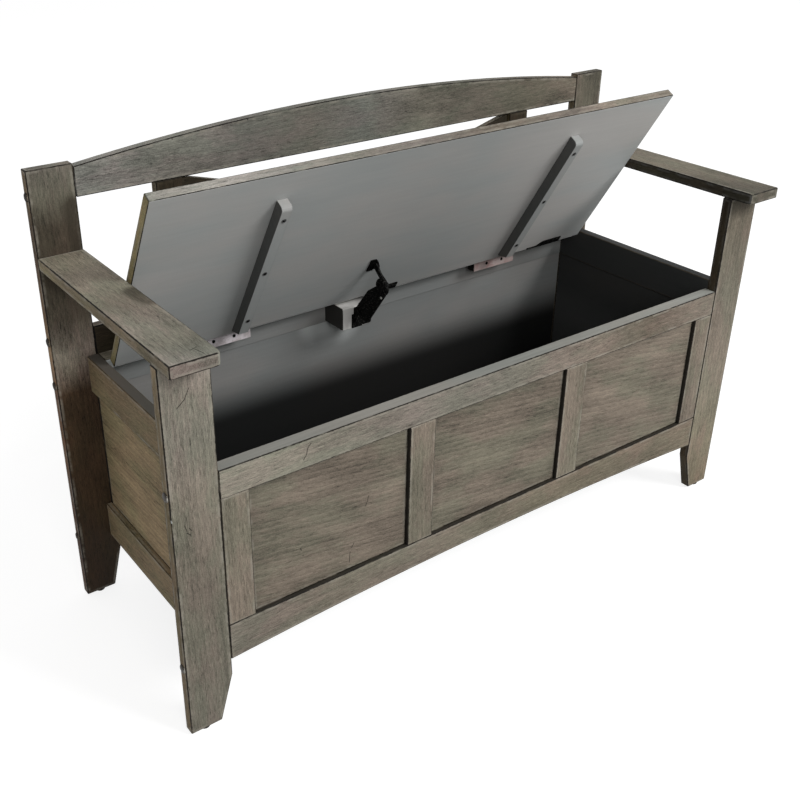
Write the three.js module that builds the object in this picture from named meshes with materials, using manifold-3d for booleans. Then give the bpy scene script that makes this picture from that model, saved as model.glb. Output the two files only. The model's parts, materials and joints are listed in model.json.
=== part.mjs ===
// Entryway storage bench: board legs and arms, an arched back with crossed braces, a framed chest
// below the seat, and a hinged lid on a folding stay. Millimetres, X to the right, Y to the back, Z up.
import * as THREE from "three";
import { mergeVertices } from "three/addons/utils/BufferGeometryUtils.js";
import Module from "manifold-3d";

const wasm = await Module();
wasm.setup();

// Overall sizes
const WIDTH = 1270;
const DEPTH = 437.5;
const POST_HEIGHT = 818.5;

// Legs and posts
const POST_WIDTH = 76.5;
const POST_THICK = 18.5;
const LEG_WIDTH = 79.5;
const LEG_THICK = 19.3;
const FOOT_WIDTH = 55.3;
const TAPER_HEIGHT = 85;

// Arms
const ARM_TOP = 676.4;
const ARM_THICK = 20;
const ARM_WIDTH = 77.2;
const ARM_OVERHANG = 40.7;
const ARM_CORNER_RADIUS = 9;

// Chest front
const BOX_TOP = 468.7;
const FRONT_THICK = 25;
const TOP_RAIL_HEIGHT = 49.7;
const LOW_RAIL_BOTTOM = 115.5;
const LOW_RAIL_TOP = 184.5;
const LOW_RAIL_ARCH = 17.5;
const END_STILE_WIDTH = 48.7;
const MIDDLE_STILE_WIDTH = 54;
const PANEL_THICK = 7;
const FRONT_PANEL_RECESS = 7;
const PANEL_TONGUE = 6.5;

// Chest sides, back and bottom
const SIDE_INSET = 58.5;
const SIDE_THICK = 19.5;
const SIDE_PANEL_RECESS = 9.5;
const BACK_PANEL_RECESS = 1.5;
const BACK_LOW_RAIL_THICK = 18.5;
const BOTTOM_HEIGHT = 150;
const BOTTOM_THICK = 9;

// Back above the seat
const SEAT_RAIL_TOP = 537;
const CREST_BOTTOM = 763;
const CREST_END = 812.5;
const CREST_RISE = 37.2;
const SLAT_INSET = 137.5;
const SLAT_WIDTH = 49;
const BRACE_WIDTH = 38;
const BRACE_FOOT_RISE = 24.8;
const BRACE_THICK = 12;

// Lid, drawn closed and turned open by LID_OPEN degrees
const LID_ARM_GAP = 6.8;
const LID_OVERHANG = 16.7;
const LID_THICK = 17.5;
const LID_OPEN = 59.2;
const LID_REST_GAP = 0.5;
const SEAT_STRIP_DEPTH = 33.6;

// Lid battens
const BATTEN_SIZE = 20;
const BATTEN_INSET = 233;
const BATTEN_REAR = 9;
const BATTEN_FRONT = 343;
const BATTEN_NOSE = 8;
const BATTEN_REAR_BEVEL = 15;
const BATTEN_SCREW_FIRST = 59;
const BATTEN_SCREW_PITCH = 128;
const BATTEN_SCREWS = 3;
const BATTEN_SCREW_R = 3;
const BATTEN_SCREW_DEPTH = 4;

// Butt hinges
const LEFT_HINGE_INSET = 219;
const RIGHT_HINGE_INSET = 230;
const HINGE_LENGTH = 110;
const HINGE_RISE = 2.8;
const LEAF_THICK = 1;
const LEAF_SPREAD = 0.4;
const FIXED_LEAF_HEIGHT = 33.4;
const LID_LEAF_HEIGHT = 15.6;
const KNUCKLE_R = 2.6;
const HINGE_PIN_R = 1.4;
const HINGE_PIN_PLAY = 0.1;
const KNUCKLE_GAP = 0.3;
const LEAF_HOLE_R = 2.6;
const LEAF_HOLE_SPREAD = 42;
const LEAF_HOLE_DROP = 22;
const HINGE_PAD_DEPTH = 18;
const HINGE_PAD_HEIGHT = 16.7;

// Lid stay: a fixed bracket, a damper arm and a bent link that folds parallel to the lid
const STAY_X = -57.5;
const STAY_BLOCK_LEFT = -89;
const STAY_BLOCK_WIDTH = 68;
const STAY_BLOCK_DEPTH = 60.5;
const STAY_BLOCK_HEIGHT = 45.5;
const STAY_BLOCK_DROP = 0.7;
const STAY_PIVOT_DROP = 28;
const STAY_PIVOT_AHEAD = 33.5;
const STAY_LID_PIVOT = 106;
const STAY_LID_PIVOT_DROP = 9.5;
const STAY_ARM_THICK = 6;
const STAY_ARM_END_R = 7;
const STAY_ARM_BELLY = 28;
const STAY_ARM_BROW = 13;
const STAY_ARM_CORNER_R = 2.5;
const STAY_DISC_R = 16.5;
const STAY_DISC_PROUD = 4;
const STAY_LINK_THICK = 3.5;
const STAY_LINK_HALF = 4.6;
const STAY_LINK_EYE_R = 6;
const STAY_LINK_BEND = 3;
const STAY_PLATE_THICK = 2.4;
const STAY_PLATE_WIDTH = 24;
const STAY_PLATE_HEIGHT = 29;
const STAY_PLATE_MARGIN = 4.7;
const STAY_EAR_THICK = 2.2;
const STAY_EAR_R = 7.5;
const STAY_PIN_R = 3;
const STAY_PIN_PLAY = 0.1;
const STAY_LAYER_GAP = 0.6;
const FOOT_REAR = 84;
const FOOT_FRONT = 114;
const FOOT_PLATE_WIDTH = 13;
const FOOT_EAR_DEPTH = 10;

// Black strap under the lid's rear edge
const STRAP_INSET = 63;
const STRAP_LENGTH = 67;
const STRAP_TAIL_LENGTH = 27;
const STRAP_TAIL_DEPTH = 3;
const STRAP_DEPTH = 14;
const STRAP_THICK = 2;

// Bolt caps and glides
const POST_BOLT_HEIGHTS = [130, 443, 525, 775];
const LEG_BOLT_HEIGHTS = [132, 450];
const CAP_R = 7.8;
const CAP_PROUD = 3.2;
const SHANK_R = 3;
const SHANK_LENGTH = 14;
const GLIDE_R = 9;
const GLIDE_HEIGHT = 4;
const GLIDE_NAIL_R = 2.4;
const GLIDE_NAIL_LENGTH = 9;

// Fits and edges
const JOINT_GAP = 0.2;
const TURNED_GAP = 0.3;
const BORE_PLAY = 0.2;
const PANEL_PLAY = 0.3;
const GROOVE_PLAY = 0.5;
const EASE = 1.2;
const FINE_EASE = 0.6;
const ROUND_SIDES = 24;
const SMALL_SIDES = 16;
const ARC_STEPS = 28;

// Shared places
const HALF = WIDTH / 2;
const FRONT = -DEPTH / 2;
const BACK = DEPTH / 2;
const LEG_INNER = HALF - LEG_WIDTH;
const LEG_BACK = FRONT + LEG_THICK;
const POST_INNER = HALF - POST_WIDTH;
const SLAT_INNER = POST_INNER - SLAT_INSET - SLAT_WIDTH;
const POST_FRONT = BACK - POST_THICK;
const SIDE_OUTER = HALF - SIDE_INSET;
const SIDE_INNER = SIDE_OUTER - SIDE_THICK;
const FRONT_INNER = FRONT + FRONT_THICK;
const TOP_RAIL_BOTTOM = BOX_TOP - TOP_RAIL_HEIGHT;
const LID_UNDER = BOX_TOP + LID_REST_GAP;
const LID_TOP = LID_UNDER + LID_THICK;
const SEAT_TOP = LID_TOP + JOINT_GAP;
const STRIP_FRONT = POST_FRONT - JOINT_GAP - SEAT_STRIP_DEPTH;
const HINGE_Y = STRIP_FRONT - JOINT_GAP - LEAF_THICK - LEAF_SPREAD / 2;
const HINGE_Z = LID_TOP + HINGE_RISE;
const LID_REAR = HINGE_Y - LEAF_SPREAD / 2 - LEAF_THICK - JOINT_GAP;
const LID_FRONT = FRONT - LID_OVERHANG;
const ARM_FRONT = FRONT - ARM_OVERHANG;
const LID_HALF = HALF - ARM_WIDTH - LID_ARM_GAP;
const BATTEN_CENTRE = LID_HALF - BATTEN_INSET;
const ORIGIN_Y = (ARM_FRONT + BACK) / 2;

const MATERIALS = {
  wood: { color: 0x8b8378, roughness: 0.7, metalness: 0 },
  paint: { color: 0x8e8e8b, roughness: 0.6, metalness: 0 },
  zinc: { color: 0xc9c0bd, roughness: 0.35, metalness: 1 },
  black: { color: 0x141614, roughness: 0.45, metalness: 0.2 },
  cap: { color: 0xa8a6a2, roughness: 0.4, metalness: 0.3 },
  glide: { color: 0x2a2723, roughness: 0.6, metalness: 0 },
};

// ---- Solids -------------------------------------------------------------------------------------

function toSolid(geometry) {
  const bare = geometry.clone();
  bare.deleteAttribute("normal");
  bare.deleteAttribute("uv");
  const merged = mergeVertices(bare, 1e-4);
  const vertProperties = new Float32Array(merged.attributes.position.array);
  const triVerts = new Uint32Array(merged.index.array);
  return new wasm.Manifold(new wasm.Mesh({ numProp: 3, vertProperties, triVerts }));
}

function toGeometry(solid) {
  const mesh = solid.getMesh();
  const geometry = new THREE.BufferGeometry();
  geometry.setAttribute("position", new THREE.BufferAttribute(mesh.vertProperties, 3));
  geometry.setIndex(new THREE.BufferAttribute(mesh.triVerts, 1));
  const flat = geometry.toNonIndexed();
  flat.computeVertexNormals();
  return flat;
}

function cut(geometry, tools) {
  return toGeometry(tools.reduce((solid, tool) => solid.subtract(toSolid(tool)), toSolid(geometry)));
}

function joined(geometries) {
  const [first, ...rest] = geometries.map(toSolid);
  return toGeometry(rest.reduce((solid, other) => solid.add(other), first));
}

// ---- Outlines -----------------------------------------------------------------------------------

function rectangle(a0, a1, b0, b1) {
  return [[a0, b0], [a1, b0], [a1, b1], [a0, b1]];
}

function circle(a, b, r, sides) {
  return Array.from({ length: sides }, (_, i) => {
    const t = (i / sides) * Math.PI * 2;
    return [a + r * Math.cos(t), b + r * Math.sin(t)];
  });
}

// Cuts each real corner of an outline by `ease`, and leaves the gentle turns of an arc alone.
function eased(points, ease) {
  const gentle = 0.4;
  return points.flatMap((p, i) => {
    const before = points[(i + points.length - 1) % points.length];
    const after = points[(i + 1) % points.length];
    const into = new THREE.Vector2(p[0] - before[0], p[1] - before[1]).normalize();
    const out = new THREE.Vector2(after[0] - p[0], after[1] - p[1]).normalize();
    if (Math.acos(THREE.MathUtils.clamp(into.dot(out), -1, 1)) < gentle) return [p];
    return [
      [p[0] - into.x * ease, p[1] - into.y * ease],
      [p[0] + out.x * ease, p[1] + out.y * ease],
    ];
  });
}

// The tight outline around a set of circles [a, b, r].
function around(circles) {
  const points = circles.flatMap(([a, b, r]) => circle(a, b, r, ROUND_SIDES));
  points.sort((p, q) => p[0] - q[0] || p[1] - q[1]);
  const half = (list) => {
    const hull = [];
    for (const p of list) {
      while (hull.length > 1) {
        const [o, m] = [hull[hull.length - 2], hull[hull.length - 1]];
        if ((m[0] - o[0]) * (p[1] - o[1]) - (m[1] - o[1]) * (p[0] - o[0]) > 1e-6) break;
        hull.pop();
      }
      hull.push(p);
    }
    return hull.slice(0, -1);
  };
  return [...half(points), ...half([...points].reverse())];
}

// Points of a circular arc over a chord from (from, level) to (to, level) that rises by `rise`.
function arcPoints(from, to, level, rise) {
  const chord = Math.abs(to - from) / 2;
  const radius = (chord * chord + rise * rise) / (2 * rise);
  const middle = (from + to) / 2;
  return Array.from({ length: ARC_STEPS + 1 }, (_, i) => {
    const a = from + ((to - from) * i) / ARC_STEPS;
    const drop = radius - Math.sqrt(radius * radius - (a - middle) ** 2);
    return [a, level + rise - drop];
  });
}

// ---- Boards and rods ----------------------------------------------------------------------------

function extruded(points, depth, ease) {
  const shape = new THREE.Shape(points.map(([a, b]) => new THREE.Vector2(a, b)));
  const geometry = new THREE.ExtrudeGeometry(shape, {
    depth: depth - 2 * ease,
    steps: 1,
    bevelEnabled: ease > 0,
    bevelThickness: ease,
    bevelSize: ease,
    bevelOffset: -ease,
    bevelSegments: 1,
  });
  return geometry.translate(0, 0, ease);
}

function placed(geometry, across, up, along, x, y, z) {
  const matrix = new THREE.Matrix4().makeBasis(across, up, along);
  return geometry.applyMatrix4(matrix.setPosition(x, y, z));
}

const AXIS_X = new THREE.Vector3(1, 0, 0);
const AXIS_Y = new THREE.Vector3(0, 1, 0);
const AXIS_Z = new THREE.Vector3(0, 0, 1);
const TO_FRONT = new THREE.Vector3(0, -1, 0);

// An outline in (y, z), run along X.
function alongX(points, x0, x1, ease = 0) {
  return placed(extruded(points, x1 - x0, ease), AXIS_Y, AXIS_Z, AXIS_X, x0, 0, 0);
}

// An outline in (x, z), run along Y.
function alongY(points, y0, y1, ease = 0) {
  return placed(extruded(points, y1 - y0, ease), AXIS_X, AXIS_Z, TO_FRONT, 0, y1, 0);
}

// An outline in (x, y), run along Z.
function alongZ(points, z0, z1, ease = 0) {
  return extruded(points, z1 - z0, ease).translate(0, 0, z0);
}

function box(x0, x1, y0, y1, z0, z1) {
  return alongZ(rectangle(x0, x1, y0, y1), z0, z1);
}

function board(x0, x1, y0, y1, z0, z1, ease = EASE) {
  return alongY(eased(rectangle(x0, x1, z0, z1), ease), y0, y1, ease);
}

function rodX(y, z, r, x0, x1, sides = ROUND_SIDES) {
  return alongX(circle(y, z, r, sides), Math.min(x0, x1), Math.max(x0, x1));
}

// ---- Legs, posts and arms -----------------------------------------------------------------------

// A leg seen from the front: straight outside, tapered on the inner edge near the floor.
function legOutline(side, width, height) {
  return [
    [side * HALF, 0],
    [side * HALF, height],
    [side * (HALF - width), height],
    [side * (HALF - width), TAPER_HEIGHT],
    [side * (HALF - FOOT_WIDTH), 0],
  ];
}

function shankBores(side, y, heights) {
  const reach = SHANK_LENGTH + BORE_PLAY;
  return heights.map((z) =>
    rodX(y, z, SHANK_R + BORE_PLAY, side * (HALF - reach), side * (HALF + 1), SMALL_SIDES));
}

function glideX(side) {
  return side * (HALF - FOOT_WIDTH / 2);
}

function nailBore(side, y) {
  const hole = circle(glideX(side), y, GLIDE_NAIL_R + BORE_PLAY, SMALL_SIDES);
  return alongZ(hole, -1, GLIDE_NAIL_LENGTH + BORE_PLAY);
}

function standingBoard(side, width, height, y0, y1, boltHeights) {
  const y = (y0 + y1) / 2;
  const blank = alongY(eased(legOutline(side, width, height), EASE), y0, y1, EASE);
  return cut(blank, [...shankBores(side, y, boltHeights), nailBore(side, y)]);
}

function armOutline(side) {
  const outer = side * HALF;
  const inner = side * (HALF - ARM_WIDTH);
  const turn = Array.from({ length: 5 }, (_, i) => {
    const t = (i / 4) * (Math.PI / 2);
    return [
      inner + side * ARM_CORNER_RADIUS * (1 - Math.sin(t)),
      ARM_FRONT + ARM_CORNER_RADIUS * (1 - Math.cos(t)),
    ];
  });
  return [
    [outer, ARM_FRONT],
    ...turn,
    [inner, POST_FRONT - JOINT_GAP],
    [outer, POST_FRONT - JOINT_GAP],
  ];
}

function arm(side) {
  return alongZ(eased(armOutline(side), EASE), ARM_TOP - ARM_THICK, ARM_TOP, EASE);
}

// A domed cap with its shank, turned about X and facing outwards.
function boltCap(side) {
  const profile = [
    [0, -SHANK_LENGTH],
    [SHANK_R, -SHANK_LENGTH],
    [SHANK_R, JOINT_GAP],
    [CAP_R, JOINT_GAP],
    [CAP_R, CAP_PROUD * 0.3],
    [CAP_R * 0.82, CAP_PROUD * 0.72],
    [CAP_R * 0.45, CAP_PROUD * 0.95],
    [0, CAP_PROUD],
  ];
  const turned = new THREE.LatheGeometry(profile.map(([r, h]) => new THREE.Vector2(r, h)), SMALL_SIDES);
  return turned.rotateZ((-side * Math.PI) / 2);
}

function glide() {
  const profile = [
    [0, -GLIDE_HEIGHT],
    [GLIDE_R - EASE, -GLIDE_HEIGHT],
    [GLIDE_R, -GLIDE_HEIGHT + EASE],
    [GLIDE_R, -JOINT_GAP],
    [GLIDE_NAIL_R, -JOINT_GAP],
    [GLIDE_NAIL_R, GLIDE_NAIL_LENGTH],
    [0, GLIDE_NAIL_LENGTH],
  ];
  const turned = new THREE.LatheGeometry(profile.map(([r, h]) => new THREE.Vector2(r, h)), ROUND_SIDES);
  return turned.rotateX(Math.PI / 2);
}

// ---- Back above the seat ------------------------------------------------------------------------

const BAY = POST_INNER - JOINT_GAP;

function crestRail() {
  const outline = [[BAY, CREST_BOTTOM], ...arcPoints(BAY, -BAY, CREST_END, CREST_RISE), [-BAY, CREST_BOTTOM]];
  return alongY(eased(outline, EASE), POST_FRONT, BACK, EASE);
}

// The seat rail also holds the top of the back panel in a groove on its lower edge.
function seatRail() {
  const blank = board(-BAY, BAY, POST_FRONT, BACK, TOP_RAIL_BOTTOM, SEAT_RAIL_TOP);
  return cut(blank, [panelGroove(-BAY - 1, BAY + 1, backPanelY(), TOP_RAIL_BOTTOM, 1)]);
}

function backPanelY() {
  const front = POST_FRONT + BACK_PANEL_RECESS;
  return [front, front + PANEL_THICK];
}

function backSlat(side) {
  const inner = side * SLAT_INNER;
  const outer = side * (SLAT_INNER + SLAT_WIDTH);
  const [x0, x1] = [Math.min(inner, outer), Math.max(inner, outer)];
  return board(x0, x1, POST_FRONT, BACK, SEAT_RAIL_TOP + JOINT_GAP, CREST_BOTTOM - JOINT_GAP);
}

// One diagonal: its upper edge leaves the top corner by one slat, and its foot lands on the seat rail.
function braceOutline(side, grow) {
  const end = SLAT_INNER - JOINT_GAP;
  const top = CREST_BOTTOM - JOINT_GAP;
  const floor = SEAT_RAIL_TOP + JOINT_GAP;
  const slope = (top - floor - BRACE_FOOT_RISE) / (2 * end);
  const drop = BRACE_WIDTH * Math.hypot(1, slope);
  const landing = (top - drop - grow - floor) / slope - end;
  return [
    [-end, top + grow],
    [end, floor + BRACE_FOOT_RISE + grow],
    [end, floor],
    [landing, floor],
    [-end, top - drop - grow],
  ].map(([x, z]) => [side * x, z]);
}

// The two diagonals are halved into each other where they cross.
function brace(side, isFront) {
  const y1 = BACK - JOINT_GAP;
  const y0 = y1 - BRACE_THICK;
  const middle = (y0 + y1) / 2;
  const blank = alongY(eased(braceOutline(side, 0), EASE), y0, y1, FINE_EASE);
  const other = braceOutline(-side, TURNED_GAP);
  const notch = isFront
    ? alongY(other, middle - JOINT_GAP / 2, y1 + 1)
    : alongY(other, y0 - 1, middle + JOINT_GAP / 2);
  return cut(blank, [notch]);
}

// ---- Chest --------------------------------------------------------------------------------------

// A groove along X that takes a panel's edge: `into` is +1 for a rail above the panel, -1 for one below.
function panelGroove(x0, x1, [y0, y1], edge, into) {
  const depth = into * (PANEL_TONGUE + GROOVE_PLAY);
  const [z0, z1] = [Math.min(edge - into, edge + depth), Math.max(edge - into, edge + depth)];
  return box(x0, x1, y0 - PANEL_PLAY, y1 + PANEL_PLAY, z0, z1);
}

const FRONT_HALF = LEG_INNER - JOINT_GAP;
const PANEL_OPENING = (2 * (FRONT_HALF - END_STILE_WIDTH) - 2 * MIDDLE_STILE_WIDTH) / 3;
const FRONT_PANEL_Y = [FRONT + FRONT_PANEL_RECESS, FRONT + FRONT_PANEL_RECESS + PANEL_THICK];
const STILES = {
  left_end_stile: [-FRONT_HALF, -FRONT_HALF + END_STILE_WIDTH],
  left_middle_stile: [-PANEL_OPENING / 2 - MIDDLE_STILE_WIDTH, -PANEL_OPENING / 2],
  right_middle_stile: [PANEL_OPENING / 2, PANEL_OPENING / 2 + MIDDLE_STILE_WIDTH],
  right_end_stile: [FRONT_HALF - END_STILE_WIDTH, FRONT_HALF],
};

function frontTopRail() {
  const blank = board(-FRONT_HALF, FRONT_HALF, FRONT, FRONT_INNER, TOP_RAIL_BOTTOM, BOX_TOP);
  return cut(blank, [panelGroove(-FRONT_HALF - 1, FRONT_HALF + 1, FRONT_PANEL_Y, TOP_RAIL_BOTTOM, 1)]);
}

function bottomGrooveZ() {
  return [BOTTOM_HEIGHT - PANEL_PLAY, BOTTOM_HEIGHT + BOTTOM_THICK + PANEL_PLAY];
}

function frontLowRail() {
  const outline = [
    ...arcPoints(-FRONT_HALF, FRONT_HALF, LOW_RAIL_BOTTOM, LOW_RAIL_ARCH),
    [FRONT_HALF, LOW_RAIL_TOP],
    [-FRONT_HALF, LOW_RAIL_TOP],
  ];
  const blank = alongY(eased(outline, EASE), FRONT, FRONT_INNER, EASE);
  const reach = PANEL_TONGUE + GROOVE_PLAY;
  return cut(blank, [
    panelGroove(-FRONT_HALF - 1, FRONT_HALF + 1, FRONT_PANEL_Y, LOW_RAIL_TOP, -1),
    box(-FRONT_HALF - 1, FRONT_HALF + 1, FRONT_INNER - reach, FRONT_INNER + 1, ...bottomGrooveZ()),
  ]);
}

function frontStile([x0, x1]) {
  const blank = board(x0, x1, FRONT, FRONT_INNER, LOW_RAIL_TOP + JOINT_GAP, TOP_RAIL_BOTTOM - JOINT_GAP);
  const [y0, y1] = FRONT_PANEL_Y;
  const reach = PANEL_TONGUE + GROOVE_PLAY;
  const slots = [[x0 - 1, x0 + reach], [x1 - reach, x1 + 1]]
    .filter(([a, b]) => (a + b) / 2 > -FRONT_HALF + reach && (a + b) / 2 < FRONT_HALF - reach)
    .map(([a, b]) => box(a, b, y0 - PANEL_PLAY, y1 + PANEL_PLAY, LOW_RAIL_TOP, TOP_RAIL_BOTTOM));
  return cut(blank, slots);
}

function frontPanel(left, right) {
  const z0 = LOW_RAIL_TOP - PANEL_TONGUE;
  const z1 = TOP_RAIL_BOTTOM + PANEL_TONGUE;
  return board(left - PANEL_TONGUE, right + PANEL_TONGUE, ...FRONT_PANEL_Y, z0, z1, FINE_EASE);
}

// Sides run from the back of the front leg to the front of the back post.
const SIDE_Y = [LEG_BACK + JOINT_GAP, POST_FRONT - JOINT_GAP];

function sideX(side, from, to) {
  const a = side * (SIDE_OUTER - from);
  const b = side * (SIDE_OUTER - to);
  return [Math.min(a, b), Math.max(a, b)];
}

function sidePanelX(side) {
  return sideX(side, SIDE_PANEL_RECESS, SIDE_PANEL_RECESS + PANEL_THICK);
}

function sideRailGroove(side, edge, into) {
  const [x0, x1] = sidePanelX(side);
  const depth = into * (PANEL_TONGUE + GROOVE_PLAY);
  const [z0, z1] = [Math.min(edge - into, edge + depth), Math.max(edge - into, edge + depth)];
  return box(x0 - PANEL_PLAY, x1 + PANEL_PLAY, SIDE_Y[0] - 1, SIDE_Y[1] + 1, z0, z1);
}

function sideTopRail(side) {
  const blank = board(...sideX(side, 0, SIDE_THICK), ...SIDE_Y, TOP_RAIL_BOTTOM, SEAT_TOP);
  return cut(blank, [sideRailGroove(side, TOP_RAIL_BOTTOM, 1)]);
}

function sideLowRail(side) {
  const blank = board(...sideX(side, 0, SIDE_THICK), ...SIDE_Y, LOW_RAIL_BOTTOM, LOW_RAIL_TOP);
  const reach = PANEL_TONGUE + GROOVE_PLAY;
  return cut(blank, [
    sideRailGroove(side, LOW_RAIL_TOP, -1),
    box(...sideX(side, SIDE_THICK - reach, SIDE_THICK + 1), SIDE_Y[0] - 1, SIDE_Y[1] + 1, ...bottomGrooveZ()),
  ]);
}

function sidePanel(side) {
  const z0 = LOW_RAIL_TOP - PANEL_TONGUE;
  const z1 = TOP_RAIL_BOTTOM + PANEL_TONGUE;
  return board(...sidePanelX(side), ...SIDE_Y, z0, z1, FINE_EASE);
}

function backLowRail() {
  const blank = board(-BAY, BAY, POST_FRONT, POST_FRONT + BACK_LOW_RAIL_THICK, LOW_RAIL_BOTTOM, LOW_RAIL_TOP);
  const reach = PANEL_TONGUE + GROOVE_PLAY;
  return cut(blank, [
    panelGroove(-BAY - 1, BAY + 1, backPanelY(), LOW_RAIL_TOP, -1),
    box(-BAY - 1, BAY + 1, POST_FRONT - 1, POST_FRONT + reach, ...bottomGrooveZ()),
  ]);
}

function backPanel() {
  const z0 = LOW_RAIL_TOP - PANEL_TONGUE;
  const z1 = TOP_RAIL_BOTTOM + PANEL_TONGUE;
  return board(-BAY, BAY, ...backPanelY(), z0, z1, FINE_EASE);
}

function bottomPanel() {
  const x = SIDE_INNER + PANEL_TONGUE;
  const y0 = FRONT_INNER - PANEL_TONGUE;
  const y1 = POST_FRONT + PANEL_TONGUE;
  const z1 = BOTTOM_HEIGHT + BOTTOM_THICK;
  const blank = board(-x, x, y0, y1, BOTTOM_HEIGHT, z1, FINE_EASE);
  const front = FRONT_HALF - PANEL_PLAY;
  const rear = SIDE_INNER - PANEL_PLAY;
  const corners = [-1, 1].flatMap((side) => [
    box(...span(side * front, side * (x + 1)), y0 - 1, SIDE_Y[0] + PANEL_PLAY, BOTTOM_HEIGHT - 1, z1 + 1),
    box(...span(side * rear, side * (x + 1)), SIDE_Y[1] - PANEL_PLAY, y1 + 1, BOTTOM_HEIGHT - 1, z1 + 1),
  ]);
  return cut(blank, corners);
}

function span(a, b) {
  return [Math.min(a, b), Math.max(a, b)];
}

const HINGE_CENTRES = { left: LEFT_HINGE_INSET - LID_HALF, right: LID_HALF - RIGHT_HINGE_INSET };

// The fixed strip behind the lid, with a glued pad under it behind each hinge leaf.
function seatStrip() {
  const half = SIDE_INNER - JOINT_GAP;
  const strip = board(-half, half, STRIP_FRONT, POST_FRONT - JOINT_GAP, LID_UNDER, LID_TOP);
  const pads = Object.values(HINGE_CENTRES).map((x) =>
    box(x - HINGE_LENGTH / 2, x + HINGE_LENGTH / 2, STRIP_FRONT, STRIP_FRONT + HINGE_PAD_DEPTH,
      LID_UNDER - HINGE_PAD_HEIGHT, LID_UNDER + EASE * 2));
  return joined([strip, ...pads]);
}

// ---- Lid and hinges, drawn closed about the hinge line --------------------------------------------

const lidY = (y) => y - HINGE_Y;
const lidZ = (z) => z - HINGE_Z;
// Distance from the lid's rear edge towards its front, and distance below its underside.
const alongLid = (s) => lidY(LID_REAR) - s;
const belowLid = (t) => lidZ(LID_UNDER) - t;

function lidPanel() {
  return board(-LID_HALF, LID_HALF, lidY(LID_FRONT), lidY(LID_REAR), lidZ(LID_UNDER), lidZ(LID_TOP));
}

function lidBatten(side) {
  const top = belowLid(TURNED_GAP);
  const bottom = top - BATTEN_SIZE;
  const nose = Array.from({ length: 5 }, (_, i) => {
    const t = (i / 4) * (Math.PI / 2);
    return [
      alongLid(BATTEN_FRONT) + BATTEN_NOSE * (1 - Math.sin(t)),
      bottom + BATTEN_NOSE * (1 - Math.cos(t)),
    ];
  });
  const outline = [
    [alongLid(BATTEN_REAR), top],
    [alongLid(BATTEN_FRONT), top],
    ...nose.reverse(),
    [alongLid(BATTEN_REAR + BATTEN_REAR_BEVEL), bottom],
  ];
  const x0 = side * BATTEN_CENTRE - BATTEN_SIZE / 2;
  const blank = alongX(outline, x0, x0 + BATTEN_SIZE, FINE_EASE);
  const screws = Array.from({ length: BATTEN_SCREWS }, (_, i) => {
    const y = alongLid(BATTEN_SCREW_FIRST + i * BATTEN_SCREW_PITCH);
    return alongZ(circle(side * BATTEN_CENTRE, y, BATTEN_SCREW_R, SMALL_SIDES), bottom - 1,
      bottom + BATTEN_SCREW_DEPTH);
  });
  return cut(blank, screws);
}

function knuckleSpan(centre) {
  const third = HINGE_LENGTH / 3;
  return {
    left: [centre - HINGE_LENGTH / 2, centre - third / 2 - KNUCKLE_GAP],
    middle: [centre - third / 2, centre + third / 2],
    right: [centre + third / 2 + KNUCKLE_GAP, centre + HINGE_LENGTH / 2],
  };
}

// A leaf seen from the front is a plate with tabs that rise into its own knuckles.
function leafPlate(centre, y0, y1, height, knuckles) {
  const top = -KNUCKLE_R - KNUCKLE_GAP;
  const plate = box(centre - HINGE_LENGTH / 2, centre + HINGE_LENGTH / 2, y0, y1, top - height, top);
  const tabs = knuckles.map(([x0, x1]) => box(x0, x1, y0, y1, top - 1, 0));
  const barrels = knuckles.map(([x0, x1]) => rodX(0, 0, KNUCKLE_R, x0, x1));
  return joined([plate, ...tabs, ...barrels]);
}

function leafHoles(centre, y0, y1) {
  return [-1, 1].map((side) =>
    alongY(circle(centre + (side * LEAF_HOLE_SPREAD) / 2, -KNUCKLE_R - LEAF_HOLE_DROP, LEAF_HOLE_R,
      SMALL_SIDES), y0 - 1, y1 + 1));
}

function fixedLeaf(centre) {
  const { left, right } = knuckleSpan(centre);
  const y0 = LEAF_SPREAD / 2;
  const y1 = y0 + LEAF_THICK;
  const plate = cut(leafPlate(centre, y0, y1, FIXED_LEAF_HEIGHT, [left, right]), leafHoles(centre, y0, y1));
  const pin = rodX(0, 0, HINGE_PIN_R, centre - HINGE_LENGTH / 2, centre + HINGE_LENGTH / 2);
  return joined([plate, pin]);
}

function lidLeaf(centre) {
  const { middle } = knuckleSpan(centre);
  const y1 = -LEAF_SPREAD / 2;
  const y0 = y1 - LEAF_THICK;
  const bore = rodX(0, 0, HINGE_PIN_R + HINGE_PIN_PLAY, middle[0] - 1, middle[1] + 1);
  return cut(leafPlate(centre, y0, y1, LID_LEAF_HEIGHT, [middle]), [bore]);
}

function lidStrap() {
  const z1 = belowLid(TURNED_GAP);
  const z0 = z1 - STRAP_THICK;
  const rear = alongLid(EASE);
  const end = LID_HALF - STRAP_INSET;
  const wide = end - STRAP_LENGTH;
  const tail = wide - STRAP_TAIL_LENGTH;
  const outline = [
    [tail, rear],
    [end, rear],
    [end, rear - STRAP_DEPTH],
    [wide + STRAP_DEPTH, rear - STRAP_DEPTH],
    [wide, rear - STRAP_TAIL_DEPTH],
    [tail, rear - STRAP_TAIL_DEPTH],
  ];
  return alongZ(outline, z0, z1);
}

// ---- Lid stay -----------------------------------------------------------------------------------
// The four pivots make a parallelogram: hinge line, lid pivot, elbow and bracket pivot. The arm turns
// with the lid and the link keeps its direction.

const OPEN = THREE.MathUtils.degToRad(LID_OPEN);

function turnedOpen([y, z]) {
  return [
    y * Math.cos(OPEN) + z * Math.sin(OPEN),
    -y * Math.sin(OPEN) + z * Math.cos(OPEN),
  ];
}

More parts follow.
